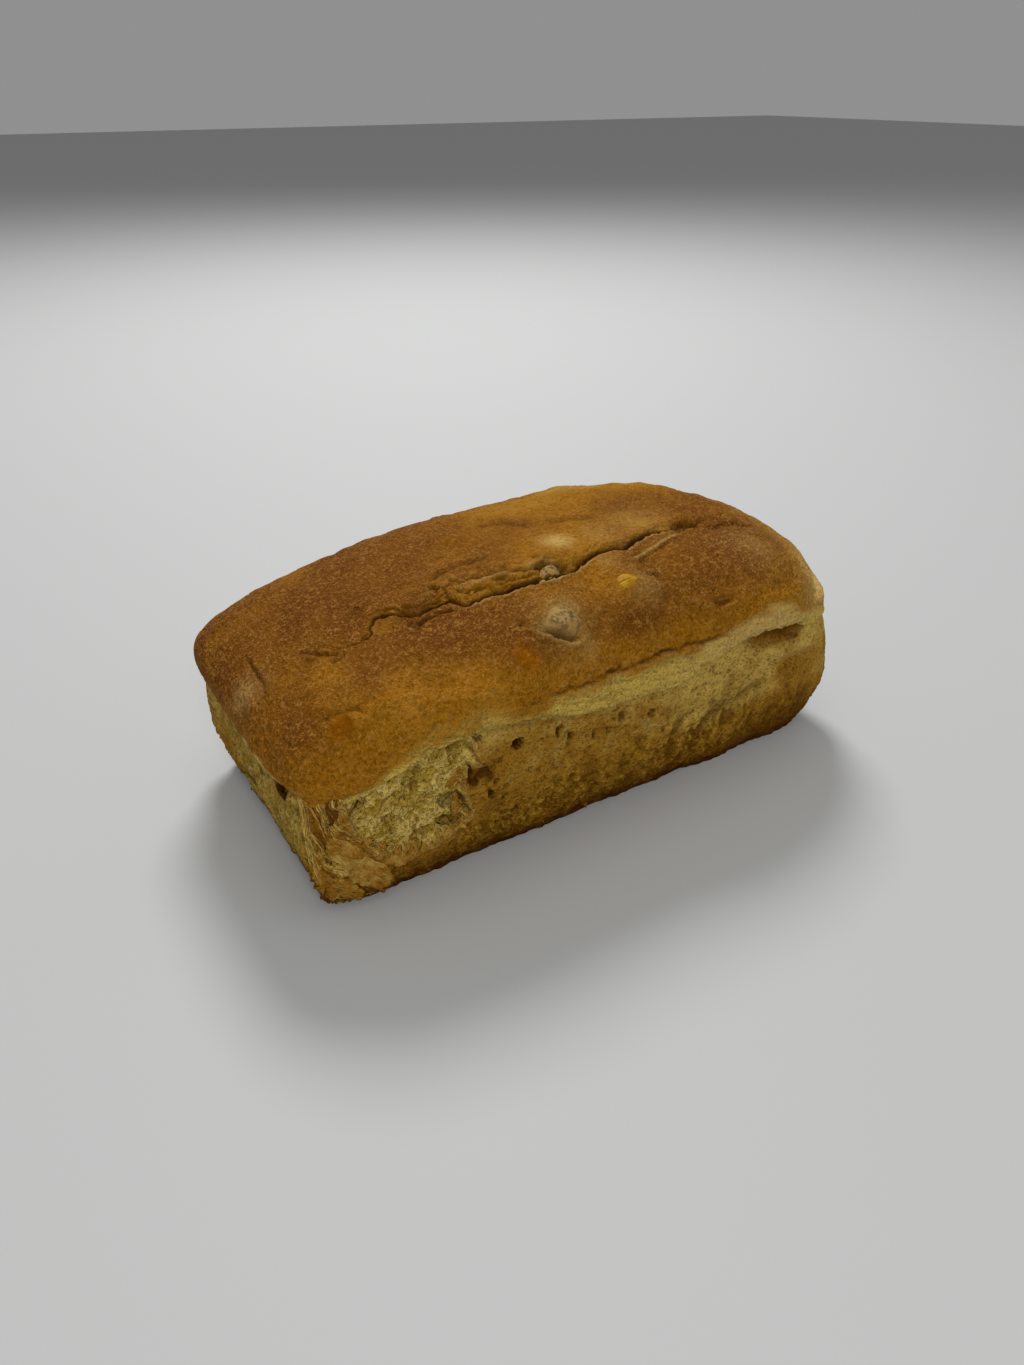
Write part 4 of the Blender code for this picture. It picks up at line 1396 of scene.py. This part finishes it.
def corner_skin(relief):
    """The smooth skin left at the near left corner, its folds, and the torn edge beside it."""
    p = relief.points
    x, y, z = p.T
    u = (x + 0.0835) - (y + 0.0385)
    plan = np.stack([u, z], 1)
    at_corner = step_up(-x, 0.064, 0.068) * step_up(-y, 0.026, 0.030)
    rough = waves(17, 14, 0.003, 0.010)
    whole = 1 - clipped(relief.number("torn"))
    edge, _ = from_line(plan, jagged(CORNER_EDGE, 0.0014, 0.00030, 79))
    skin = step_up(edge + 0.0006 * rough(p), 0.0002, 0.0009) * at_corner * whole
    skin *= 1 - step_up(u + 0.0008 * rough(p), 0.0185, 0.0215)
    smooth = within(plan, MEMBRANE, 0.0004 * rough(p), soft=0.0010) * at_corner * whole
    relief.height -= 0.0013 * smooth
    upper = step_up(z, 0.010, 0.018)
    relief.height += at_corner * 0.0007 * hill(edge + 0.0005, 0.0008)
    # painted highlight along the corner's raised edge
    relief.paint("pale_and_painted_highlight", at_corner * (0.35 + 0.65 * upper) * hill(edge + 0.0004, 0.0009))
    # painted shade in the notch under the crust's edge
    notch = hill(np.hypot((u - 0.0010) / 2.4, z - 0.0352), 0.0012)
    relief.paint("deep", 0.80 * at_corner * notch)
    for number, line in enumerate(FOLDS):
        off, share = from_line(plan, jagged(line, 0.0013, 0.00020, 80 + number))
        strength = faded(share, 0.25) * at_corner * whole * (0.75 + 0.25 * rough(p * 1.3))
        relief.height += 0.0007 * strength * hill(off, 0.00060)
        relief.height -= 0.0006 * strength * hill(off - 0.0016, 0.0012)
        # painted highlight on each fold, and painted shade in the dip beside it
        relief.paint("pale_and_painted_highlight", 0.55 * strength * hill(off + 0.0001, 0.00035))
        relief.paint("deep", 0.30 * strength * hill(off - 0.0011, 0.0006))
    relief.paint("membrane", np.maximum(0.95 * smooth, 0.45 * skin))


def clipped(numbers):
    return np.clip(numbers, 0, 1)


# %% [markdown]
# ## The foot and how far the sides are baked
# The bottom edge touched the hottest part of the tin. It is brown, and it is torn where it stuck, so
# the wall wanders in and out just above the ground, where a painted shadow darkens it more. Further
# up the sides are tan, with browner streaks, and palest in the shade of the crust. Painted shade
# lies under the crust's rim and in the hollow beneath it at the right.

# %% The foot, the streaks and the whole relief of the sides
def bake_sides(relief):
    p = relief.points
    x, y, z = p.T
    soft = waves(95, 16, 0.010, 0.040)
    small = waves(96, 16, 0.003, 0.008)
    low = 1 - step_up(z + 0.0016 * soft(p) + 0.0010 * small(p), 0.0015, 0.0110)
    edge = edge_at(p)
    high = step_up(z - edge, -0.012, -0.003)
    wide = 1 - step_up(z + 0.0030 * soft(p), 0.0040, 0.0260)
    bake = 0.46 + 0.34 * low + 0.22 * wide - 0.18 * high + 0.06 * soft(p) + 0.04 * small(p)
    bake += 0.20 * hill(np.hypot(x - 0.0700, (z - 0.0250) * 1.6), 0.0110)
    bake -= 0.36 * step_up(x, -0.010, 0.040) * step_up(z, 0.012, 0.022) * near_only(relief)
    patches = hill(np.hypot(y - 0.005, z - 0.014), 0.006) + hill(
        np.hypot(y + 0.020, z - 0.008), 0.008)
    # painted shade: the hollow under the crust's rim at the right is made browner
    recess = hill(np.hypot((x - 0.0570) / 2.8, z - 0.0408), 0.0034)
    bake += (0.70 * recess + 0.16 * step_up(x, 0.045, 0.065)) * near_only(relief)
    bake += (0.35 * patches - 0.24 * step_up(z, 0.012, 0.024)) * left_only(relief)
    brown = hill(np.hypot(x + 0.0405, (z - 0.0295) * 1.2), 0.0042) * near_only(relief)
    relief.numbers["bake"] = bake + 0.45 * brown
    # painted shadow along the foot, where the loaf meets the ground
    relief.paint("deep", 0.92 * (1 - step_up(z + 0.0007 * small(p), 0.0004, 0.0040)))
    # painted shadow in a thin line under the crust's rim
    rim = hill(z - edge + 0.0032 + 0.0003 * small(p), 0.0006) * near_only(relief)
    relief.paint("deep", rim * (0.25 + 0.45 * clipped(relief.number("torn"))))
    # a painted highlight on the raised ridge, and painted shade in the sunk one
    for line, rise in (("500,350 592,325 713,325 760,370", 0.0010), ("400,205 462,225 573,243", -0.0010)):
        off, share = from_line(p[:, [0, 2]], tenths(line))
        ridge = hill(off, 0.0017) * faded(share, 0.3) * near_only(relief)
        relief.height += rise * ridge
        relief.paint("pale_and_painted_highlight" if rise > 0 else "deep", 0.50 * ridge)


def scar(relief):
    """Where the wall is scarred: low down all round, and most of the left end."""
    p = relief.points
    x, y, z = p.T
    soft = waves(97, 14, 0.008, 0.030)
    reach = np.interp(x, (-0.045, -0.020, 0.020, 0.070), (0.016, 0.024, 0.032, 0.034))
    low = 1 - 0.9 * step_up(z + 0.003 * soft(p), reach * 0.45, reach)
    low *= 1 - 0.6 * step_up(x, 0.035, 0.065)
    left = left_only(relief) * (1 - step_up(z + 0.002 * soft(p), 0.032, 0.040))
    left *= 0.55 + 0.45 * step_up(-y, -0.010, 0.030)
    scarred = np.maximum(low, left) * (1 - 0.9 * clipped(relief.number("membrane")))
    scarred *= 0.45 + 0.55 * step_up(z, 0.002, 0.010)
    relief.numbers["scarred"] = scarred * (1 - 0.6 * clipped(relief.number("torn")))


def foot(relief):
    """The wall's foot, drawn in unevenly where it stuck to the tin."""
    p = relief.points
    rough = waves(18, 18, 0.006, 0.026)
    fine = waves(19, 22, 0.0012, 0.005)
    low = 1 - step_up(p[:, 2], 0.0002, 0.0060)
    sideways = relief.normals[:, :2] / np.maximum(np.hypot(*relief.normals[:, :2].T), 0.05)[:, None]
    inward = low * np.maximum(0.0010 + 0.0005 * rough(p) + 0.0002 * fine(p), 0)
    relief.slip[:, :2] -= sideways * inward[:, None]


def relieve_sides():
    relief = Relief(sides)
    p = relief.points
    ground = p[:, 2] < 1e-6
    lumps = waves(21, 16, 0.010, 0.030)
    relief.height += 0.00030 * lumps(p) * step_up(p[:, 2], 0.0, 0.004)
    for name in ("torn", "membrane", "deep", "pale_and_painted_highlight"):
        relief.number(name)
    tear_open(relief)
    pits(relief)
    corner_skin(relief)
    bake_sides(relief)
    scar(relief)
    foot(relief)
    hidden = p[:, 2] > edge_at(p) + 0.003
    relief.height[hidden | ground] = 0
    relief.apply()


relieve_sides()


# %% [markdown]
# ## The hollows of the crumb
# Crumb is foam: hollows of many sizes with thin walls between. Voronoi cells give just that, a
# centre and a random number for each cell. The tree digs a bowl into a random share of the cells,
# at two sizes in the torn patch and sparsely in the tinned skin, where the bowls are stretched
# upwards like the slits in the real wall. It also stores how deep each point lies, which the colour
# turns into painted shade in the hollows and pits.

# %% The tree "crumb hollows"
def hollow_tree():
    tree, start, end = geometry_tree("crumb hollows", {
        "Large Cell": 0.0035, "Large Depth": 0.0016, "Small Cell": 0.0015, "Small Depth": 0.0007,
        "Pit Cell": 0.0024, "Pit Depth": 0.0005, "Pit Share": 0.3, "Gouge Depth": 0.0010,
        "Seed": 5.0})
    x, y, z = place_parts(tree)
    wobble = noise(tree, vector(tree, x, y, z), 420, detail=2) - 0.5
    place = vector(tree, x + wobble * 0.0022, y + start["Seed"], z + wobble * 0.0014)
    torn = stored(tree, "torn")
    seen = ease(z, 0.0004, 0.0020)

    def bowls(cell, share, stretch=None):
        distance, luck = cells(tree, place, 1.0 / start[cell], stretch)
        return ease(distance, 0.62, 0.10) * ease(luck, 1 - share, 1 - share + 0.12)

    large = bowls("Large Cell", 0.34, (1, 1, 0.85)) * start["Large Depth"] * torn
    small = bowls("Small Cell", 0.75) * start["Small Depth"] * (torn * 0.85 + 0.06)
    distance, luck = cells(tree, place, 1.0 / start["Pit Cell"], (1.35, 1, 0.75))
    skin = (1 - torn) * (1 - stored(tree, "membrane"))
    pit = ease(distance, 0.48, 0.18) * (luck < start["Pit Share"]) * start["Pit Depth"] * skin
    rough = (noise(tree, vector(tree, x, y, z), 620, detail=3, roughness=0.6) - 0.5) * 0.0007
    broad = noise(tree, vector(tree, x, y, z * 0.40), 210, detail=3, roughness=0.55, distortion=0.5)
    close = noise(tree, vector(tree, x, y, z * 0.80), 520, detail=3, roughness=0.62, distortion=0.4)
    to_right = ease(x, -0.030, 0.015)
    gouge = ease(broad, 0.45, 0.58) * (to_right * 0.55 + 0.25)
    gouge = (gouge + ease(close, 0.45, 0.60) * (0.75 - to_right * 0.35)) * stored(tree, "scarred")
    depth = (large + small + pit + gouge * start["Gouge Depth"]) * seen
    result = pushed_out(tree, start["Geometry"], rough * (0.8 + torn * 0.7) * seen - depth)
    # how deep a point lies in a bowl, for the painted shade of the colour
    result = noted(tree, result, "hollow", clamped((large + small + pit) / 0.0011))
    result = noted(tree, result, "gouge", clamped(gouge))
    finish_tree(tree, result, start["Material"], end)
    return tree


run_tree(sides, hollow_tree(), material=sides_finish, large_cell=0.0036, large_depth=0.0021,
         small_cell=0.0015, small_depth=0.0008, pit_cell=0.0019, pit_depth=0.00095,
         pit_share=0.36, gouge_depth=0.0010, seed=5.0)
keep_inside(sides)


# %% [markdown]
# ## Shreds of skin
# Where the skin tore, small shreds are left along the torn edge, at the corner and along the foot.
# They repeat, so they are instances: the tree scatters points over the faces where the shape says
# that shreds may grow, lays a small curved flake on each, leaning off the wall, and makes them real.
# The larger sheets and fibres at the corner each have a shape of their own, so they are laid on one
# by one: a ray from outside finds the wall below each point, and the point is set a little off it.

# %% The flake that is repeated
def flake_mesh(seed):
    """One ragged flake, a few faces, thin, curved, about 1 long."""
    rng = np.random.default_rng(seed)
    bm = bmesh.new()
    bmesh.ops.create_grid(bm, x_segments=4, y_segments=5, size=0.5)
    for corner in bm.verts:
        x, y, _ = corner.co
        narrow = 1 - 0.55 * (y + 0.5) + 0.25 * rng.normal()
        corner.co.x = x * 0.8 * max(0.15, narrow) + 0.06 * rng.normal()
        corner.co.y = y + 0.10 * rng.normal()
        corner.co.z = 0.35 * (y + 0.5) ** 2 - 0.5 * x * x + 0.04 * rng.normal()
    bmesh.ops.recalc_face_normals(bm, faces=bm.faces[:])
    bmesh.ops.solidify(bm, geom=bm.faces[:], thickness=0.05)
    mesh = mesh_from(bm, "flake")
    mesh.shade_smooth()
    return mesh


# %% The tree "shreds of skin"
def shred_tree(flakes):
    tree, start, end = geometry_tree("shreds of skin", {
        "Density": 40000.0, "Smallest": 0.0010, "Largest": 0.0030, "Lean": 0.5, "Seed": 1})
    seed, lean = start["Seed"], start["Lean"]
    scatter = add_node(tree, "GeometryNodeDistributePointsOnFaces", {
        "Mesh": start["Geometry"], "Density": stored(tree, "shreds") * start["Density"],
        "Seed": seed}, "Points")
    pieces = add_node(tree, "GeometryNodeCollectionInfo", {
        "Collection": flakes, "Separate Children": True, "Reset Children": True})

    def random(low, high):
        """A random number for each shred; the node's slots 2 and 3 are its limits."""
        return add_node(tree, "FunctionNodeRandomValue", {2: low, 3: high, "Seed": seed}, 1,
                        data_type="FLOAT")

    placed = add_node(tree, "GeometryNodeInstanceOnPoints", {
        "Points": scatter, "Instance": pieces, "Pick Instance": True,
        "Rotation": scatter.socket.node.outputs["Rotation"],
        "Scale": random(start["Smallest"], start["Largest"])})
    turn = vector(tree, random(lean * -1, lean), lean * -0.3, random(0.0, 6.283))
    turned = add_node(tree, "GeometryNodeRotateInstances", {"Instances": placed, "Rotation": turn})
    finish_tree(tree, turned, start["Material"], end)
    return tree


# Sheets of torn skin round the near left corner, where u is the way round it (0 at its edge, positive
# along the near side): the outline as (u, height), which way it lifts off, how far, and how baked.
SHEETS = tuple((tenths(line), *how) for line, *how in (
    ("36,232 77,226 134,182 209,100 212,58 169,39 102,85 59,151", (0.6, -0.8), 0.0015, 0.22),
    ("23,130 73,112 128,48 108,14 42,18", (0.7, -0.7), 0.0015, 0.38),
    ("30,268 70,258 120,218 170,168 125,172 60,216", (0.3, -1.0), 0.001, 0.3),
    ("-8,205 18,190 48,120 62,50 28,30 4,95", (-1.0, -0.3), 0.0012, 0.42),
    ("-16,125 3,120 22,60 36,15 8,9 -7,50", (-1.0, -0.5), 0.001, 0.95),
    ("8,62 52,46 94,20 72,8 20,10", (0.0, -1.0), 0.0011, 1.0),
    ("90,52 150,46 195,26 162,9 100,12", (0.5, -1.0), 0.001, 0.95),
    ("-44,92 -20,96 -4,42 -10,9 -32,14", (-1.0, 0.0), 0.0009, 0.62),
    ("58,362 80,370 104,352 97,310 76,300 64,334", (0.3, -1.0), 0.0009, 0.92),
    ("86,332 112,336 128,306 100,298", (0.3, -1.0), 0.0008, 0.45),
    ("372,166 402,160 400,236 378,242", (-1.0, 0.0), 0.0009, 0.34),
    ("364,278 392,316 424,320 410,296 384,270", (-1.0, -0.4), 0.0009, 0.36),
    ("186,118 230,142 290,122 284,94 222,84", (0.2, 1.0), 0.001, 0.26),
    ("60,300 84,296 112,250 94,240 66,266", (1.0, -0.3), 0.0009, 0.48),
))


def on_wall(u, z, out):
    """The point of the wall at a place round the corner, lifted off it by out."""
    ray = Vector((1, 1, 0)).normalized()
    start = Vector((-0.1335 + u / 2, -0.0885 - u / 2, z)) + Vector(CENTRE)
    hit, place, normal, _ = sides.ray_cast(start, ray)
    if not hit:
        place, normal = start + ray * 0.0707, -ray
    return place + (normal - ray).normalized() * out


def strand(line, shift, width, lift, steps=22):
    """A thin fibre of skin along a line on the wall, three-sided, with pointed ends."""
    places, even = evenly(np.array(line) + shift, steps)
    slims = width * np.sin(np.linspace(0.05, np.pi - 0.05, steps)) ** 0.6
    offs = 0.00008 + lift * np.sin(np.linspace(0.4, np.pi - 0.2, steps)) ** 2
    points = []
    for (u, z), slim, off in zip(places, slims, offs):
        z = max(z, 0.0012)
        points += [tuple(on_wall(u + side * slim, z + side * slim, off + up * slim))
                   for side, up in ((-1, 0), (1, 0), (0, 1.4))]
    faces = [(3 * a + k, 3 * a + (k + 1) % 3, 3 * a + 3 + (k + 1) % 3, 3 * a + 3 + k)
             for a in range(steps - 1) for k in range(3)]
    faces += [(0, 2, 1), (3 * steps - 3, 3 * steps - 2, 3 * steps - 1)]
    numbers = {"bake": np.full(3 * steps, 0.05), "fibre_across": np.full(3 * steps, width * 9),
               "fibre_along": np.repeat(even, 3)}
    return points, faces, numbers


def skin_sheet(outline, way, lift, bake, seed, steps=96, rings=9, thick=0.00010):
    """One sheet of skin laid on the wall: its points, its faces, and the numbers it carries."""
    rng = np.random.default_rng(seed)
    rim, _ = evenly(np.array(outline + (outline[0],)), steps, endpoint=False)
    middle = rim.mean(0)
    turn = np.linspace(0, 2 * np.pi, steps, endpoint=False)
    jag = sum(rng.normal() * np.cos(k * turn + rng.uniform(0, 6.28)) / k ** 0.6 for k in range(3, 26))
    rim = middle + (rim - middle) * (1 + 0.045 * jag[:, None])
    way = np.array(way) / np.hypot(*way)
    reach = np.abs((rim - middle) @ way).max()
    share = (np.arange(1, rings + 1) / rings)[:, None, None]
    plan = np.concatenate([[middle], (middle + (rim - middle) * share).reshape(-1, 2)])
    plan[:, 1] = np.maximum(plan[:, 1], 0.0006)
    toward = np.clip((plan - middle) @ way / reach, -1, 1)
    across = (plan - middle) @ np.array([-way[1], way[0]])
    fold = np.sin(across * 3300 + 2.0 * np.sin(toward * 2.1 + seed)) * 0.00020
    curl = 0.00022 + lift * np.maximum(toward, 0) ** 1.7 + fold * (0.4 + np.abs(toward))
    top = [on_wall(u, z, out) for (u, z), out in zip(plan, np.maximum(curl, 0.00012))]
    count = len(top)
    inward = Vector((1, 1, 0)).normalized() * thick
    points = [tuple(v) for v in top] + [tuple(v + inward) for v in top]

    def joined(inner, outer):
        """Quads between two rings, given by the number of each one's first point."""
        return [(inner + a, inner + (a + 1) % steps, outer + (a + 1) % steps, outer + a)
                for a in range(steps)]

    faces = [(0, 1 + (a + 1) % steps, 1 + a) for a in range(steps)]
    for ring in range(rings - 1):
        faces += joined(1 + ring * steps, 1 + (ring + 1) * steps)
    faces += [tuple(reversed([corner + count for corner in face])) for face in faces]
    edge = 1 + (rings - 1) * steps
    faces += joined(edge, edge + count)
    numbers = {"bake": np.full(count, bake) + 0.30 * np.abs(toward), "fibre_across": across,
               "fibre_along": toward * reach}
    return points, faces, {name: np.tile(value, 2) for name, value in numbers.items()}


def add_sheets(made):
    """Join the sheets to the flakes and store how baked each is and where its fibres run."""
    bm = bmesh.new()
    bm.from_mesh(made.data)
    height = np.array([corner.co.z for corner in bm.verts])
    carried_now = {"bake": [np.clip(0.95 - height / 0.020, 0.35, 0.95)],
                   "fibre_across": [height * 0], "fibre_along": [height * 0]}
    rng = np.random.default_rng(8)
    laid = [skin_sheet(*sheet, seed) for seed, sheet in enumerate(SHEETS)]
    for line in FOLDS + (CORNER_EDGE,) * 2:
        laid += [strand(jagged(line, 0.0045, 0.00030, number), rng.normal(size=2) * 0.0009,
                        rng.uniform(0.00006, 0.00014), rng.uniform(0, 0.0006)) for number in range(5)]
    for points, faces, numbers in laid:
        sheet = bpy.data.meshes.new("sheet")
        sheet.from_pydata(points, [], faces)
        bm.from_mesh(sheet)
        bpy.data.meshes.remove(sheet)
        for name, value in numbers.items():
            carried_now[name].append(value)
    bmesh.ops.recalc_face_normals(bm, faces=bm.faces[:])
    for face in bm.faces:
        face.material_index = 0
    bm.to_mesh(made.data)
    bm.free()
    for name, parts in carried_now.items():
        carry(made.data, name, np.concatenate(parts))
    made.data.materials.clear()
    made.data.materials.append(torn_skin_finish)
    made.data.shade_smooth()


def make_shreds():
    """A copy of the sides carries the scatter; the tree hands back the flakes, and sheets join them."""
    flakes = bpy.data.collections.new("flakes")
    bpy.context.scene.collection.children.link(flakes)
    for seed in range(1, 6):
        new_object(f"flake_{seed}", flake_mesh(seed), flakes)
    made = new_object("shreds", sides.data.copy())
    relief = Relief(made)
    p = relief.points
    x, _, z = p.T
    near = near_only(relief)
    off = outline_depth(p[:, [0, 2]], TORN)
    edge = hill(off, 0.0014) * near * (1 - step_up(z, 0.034, 0.038))
    corner = hill(np.hypot(x + 0.0720, z - 0.0080), 0.0095) * near
    low = (1 - step_up(z, 0.0030, 0.0060)) * step_up(z, 0.0012, 0.0020)
    sparse = low * (0.10 + 0.30 * near * (1 - step_up(x, -0.045, -0.010)))
    relief.numbers["shreds"] = np.clip(0.7 * edge + 0.8 * corner + sparse, 0, 1)
    relief.apply()
    run_tree(made, shred_tree(flakes), material=torn_skin_finish, density=110000.0,
             smallest=0.0008, largest=0.0026, lean=0.30, seed=4)
    for flake in list(flakes.objects):
        bpy.data.objects.remove(flake)
    bpy.data.collections.remove(flakes)
    add_sheets(made)
    keep_inside(made)
    return made


shreds = make_shreds()
print("shreds:", len(shreds.data.polygons), "faces")


# %% [markdown]
# ## The fruit
# A sultana is an ellipsoid whose skin has shrunk into ridges and valleys; candied peel is a soft
# cube with rounded edges. Both follow a rule, so one tree makes them: it starts from a fine ball,
# squares it off, wrinkles it and gives it the size of the solid that it stands for.

# %% The tree "wrinkled fruit"
def fruit_tree():
    tree, start, end = geometry_tree("wrinkled fruit", {
        "Squareness": 0.0, "Wrinkle Depth": 0.1, "Wrinkle Count": 2.0, "Seed": 1.0})
    x, y, z = place_parts(tree)
    place = vector(tree, x, y, z + start["Seed"] * 3.7)
    valleys = noise(tree, place, start["Wrinkle Count"], detail=3, roughness=0.55, distortion=1.2)
    ridge = 1 - abs(valleys - 0.5) * 5
    swell_by = 1 - start["Wrinkle Depth"] * (0.55 - ridge * 0.45)
    boxy = (axis * abs(axis) ** (start["Squareness"] * -0.35) * swell_by for axis in (x, y, z))
    moved = add_node(tree, "GeometryNodeSetPosition", {
        "Geometry": start["Geometry"], "Position": vector(tree, *boxy)})
    finish_tree(tree, moved, start["Material"], end)
    return tree


wrinkled_fruit = fruit_tree()


# %% One piece of fruit for each solid
def make_fruit(name, finish, squareness, depth, count, seed, lift):
    """A fine piece of fruit in the place of a solid one, turned as that one lies."""
    middle, axes, half = fruit_place(name)
    bm = bmesh.new()
    bmesh.ops.create_icosphere(bm, subdivisions=6, radius=1)
    made = new_object(name + "_fine", mesh_from(bm, name + "_fine"))
    run_tree(made, wrinkled_fruit, material=finish, squareness=squareness, wrinkle_depth=depth,
             wrinkle_count=count, seed=seed)
    points = points_of(made.data) * half @ axes.T + middle + axes[:, 2] * lift
    put_points(made.data, points)
    plan = (points - CENTRE)[:, :2]
    # The lip of the skin above the large sultana and the one above the crack's shade the fruit.
    lee = [hill(from_line(plan, CREASES[number][0])[0], 0.0011) for number in (0, 3)]
    carry(made.data, "lee", np.maximum(*lee))
    ragged = 0.0005 * waves(45, 10, 0.0015, 0.005)(points)[:, None]
    skin = 1 - step_up(outline_depth(plan + ragged, BARE[name]), 0.0001, 0.55 * half[1])
    carry(made.data, "skin", skin)
    made.data.shade_smooth()
    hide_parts(name)
    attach(made, "root")
    print(f"{made.name}: {2000 * half.max():.1f} mm long")
    return made


make_fruit("sultana_in_shoulder", sultana_finish, 0.0, 0.08, 1.3, 1.0, 0.0000)
make_fruit("sultana_in_crack", sultana_finish, 0.0, 0.12, 1.5, 2.0, 0.0000)
make_fruit("peel_in_shoulder", peel_finish, 0.1, 0.06, 0.8, 3.0, -0.0001)
make_fruit("peel_below_shoulder", baked_peel_finish, 0.4, 0.06, 0.8, 4.0, -0.0006)
make_fruit("peel_at_corner", baked_peel_finish, 0.4, 0.06, 0.8, 5.0, -0.0006)

# %% [markdown]
# ## Hand the pieces to the frame
# The crust, the sides and the shreds stand for the one solid loaf and ride with it.

# %% What stands for the loaf
for piece in (crust, sides, shreds):
    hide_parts("loaf")
    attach(piece, "root")
print("triangles:", {piece.name: sum(len(f.vertices) - 2 for f in piece.data.polygons)
                     for piece in (crust, sides, shreds)})


# %% [markdown]
# ## Floor, light and camera
# A plain pale floor and soft light from large areas show a crust best: hard light would turn its
# speckle into glitter. A window lamp behind the loaf shades the roll of the crack and the small
# wrinkles, and a weaker lamp on the camera's side keeps the near wall light. The camera stands where
# the real one did, low at the left corner.

# %% The studio
def aim(made, place, way):
    """Put an object at a place and let it look along a way."""
    made.location = place
    made.rotation_mode = "QUATERNION"
    made.rotation_quaternion = Vector(way).to_track_quat("-Z", "Y")


def area_light(name, place, size, power):
    """A round lamp that looks at the middle of the loaf, 3 cm over the floor."""
    lamp = bpy.data.lights.new(name, "AREA")
    lamp.shape = "DISK"
    lamp.size = size
    lamp.energy = power
    aim(new_object(name, lamp), place, Vector((0, 0, 0.03)) - Vector(place))


def studio():
    bm = bmesh.new()
    bmesh.ops.create_grid(bm, x_segments=1, y_segments=1, size=4)
    floor = new_object("floor", mesh_from(bm, "floor"))
    floor.location.z = -0.0002
    paint, _, inputs, _ = new_material("pale floor", 0.6, specular=0.2)
    inputs["Base Color"].default_value = (0.47, 0.475, 0.47, 1)
    floor.data.materials.append(paint)
    world = bpy.data.worlds.new("soft room")
    world.use_nodes = True
    background = world.node_tree.nodes["Background"].inputs
    background["Color"].default_value = (0.99, 1.0, 0.99, 1)
    background["Strength"].default_value = 0.28
    bpy.context.scene.world = world
    area_light("window", (0.35, 0.75, 0.95), 0.42, 12.0)
    area_light("ceiling", (-0.10, -0.10, 1.20), 0.9, 2.2)
    area_light("room", (-0.35, -0.80, 0.70), 0.40, 4.2)


studio()

# %% [markdown]
# The lens and the place of the camera were worked out from the loaf's own corners and from the
# height of its crown, so that the picture's lines meet the real ones.

# %% The camera
def camera():
    lens = bpy.data.cameras.new("camera")
    lens.lens = 1000 / 1365 * 36
    lens.sensor_width = 36
    lens.clip_start = 0.01
    made = new_object("camera", lens)
    aim(made, (-0.13888, -0.21470, 0.17490), (0.45153, 0.72541, -0.51952))
    bpy.context.scene.camera = made
    bpy.context.scene.view_settings.view_transform = "Standard"
    bpy.context.scene.view_settings.look = "None"
    print("camera at", [round(v, 3) for v in made.location])


camera()
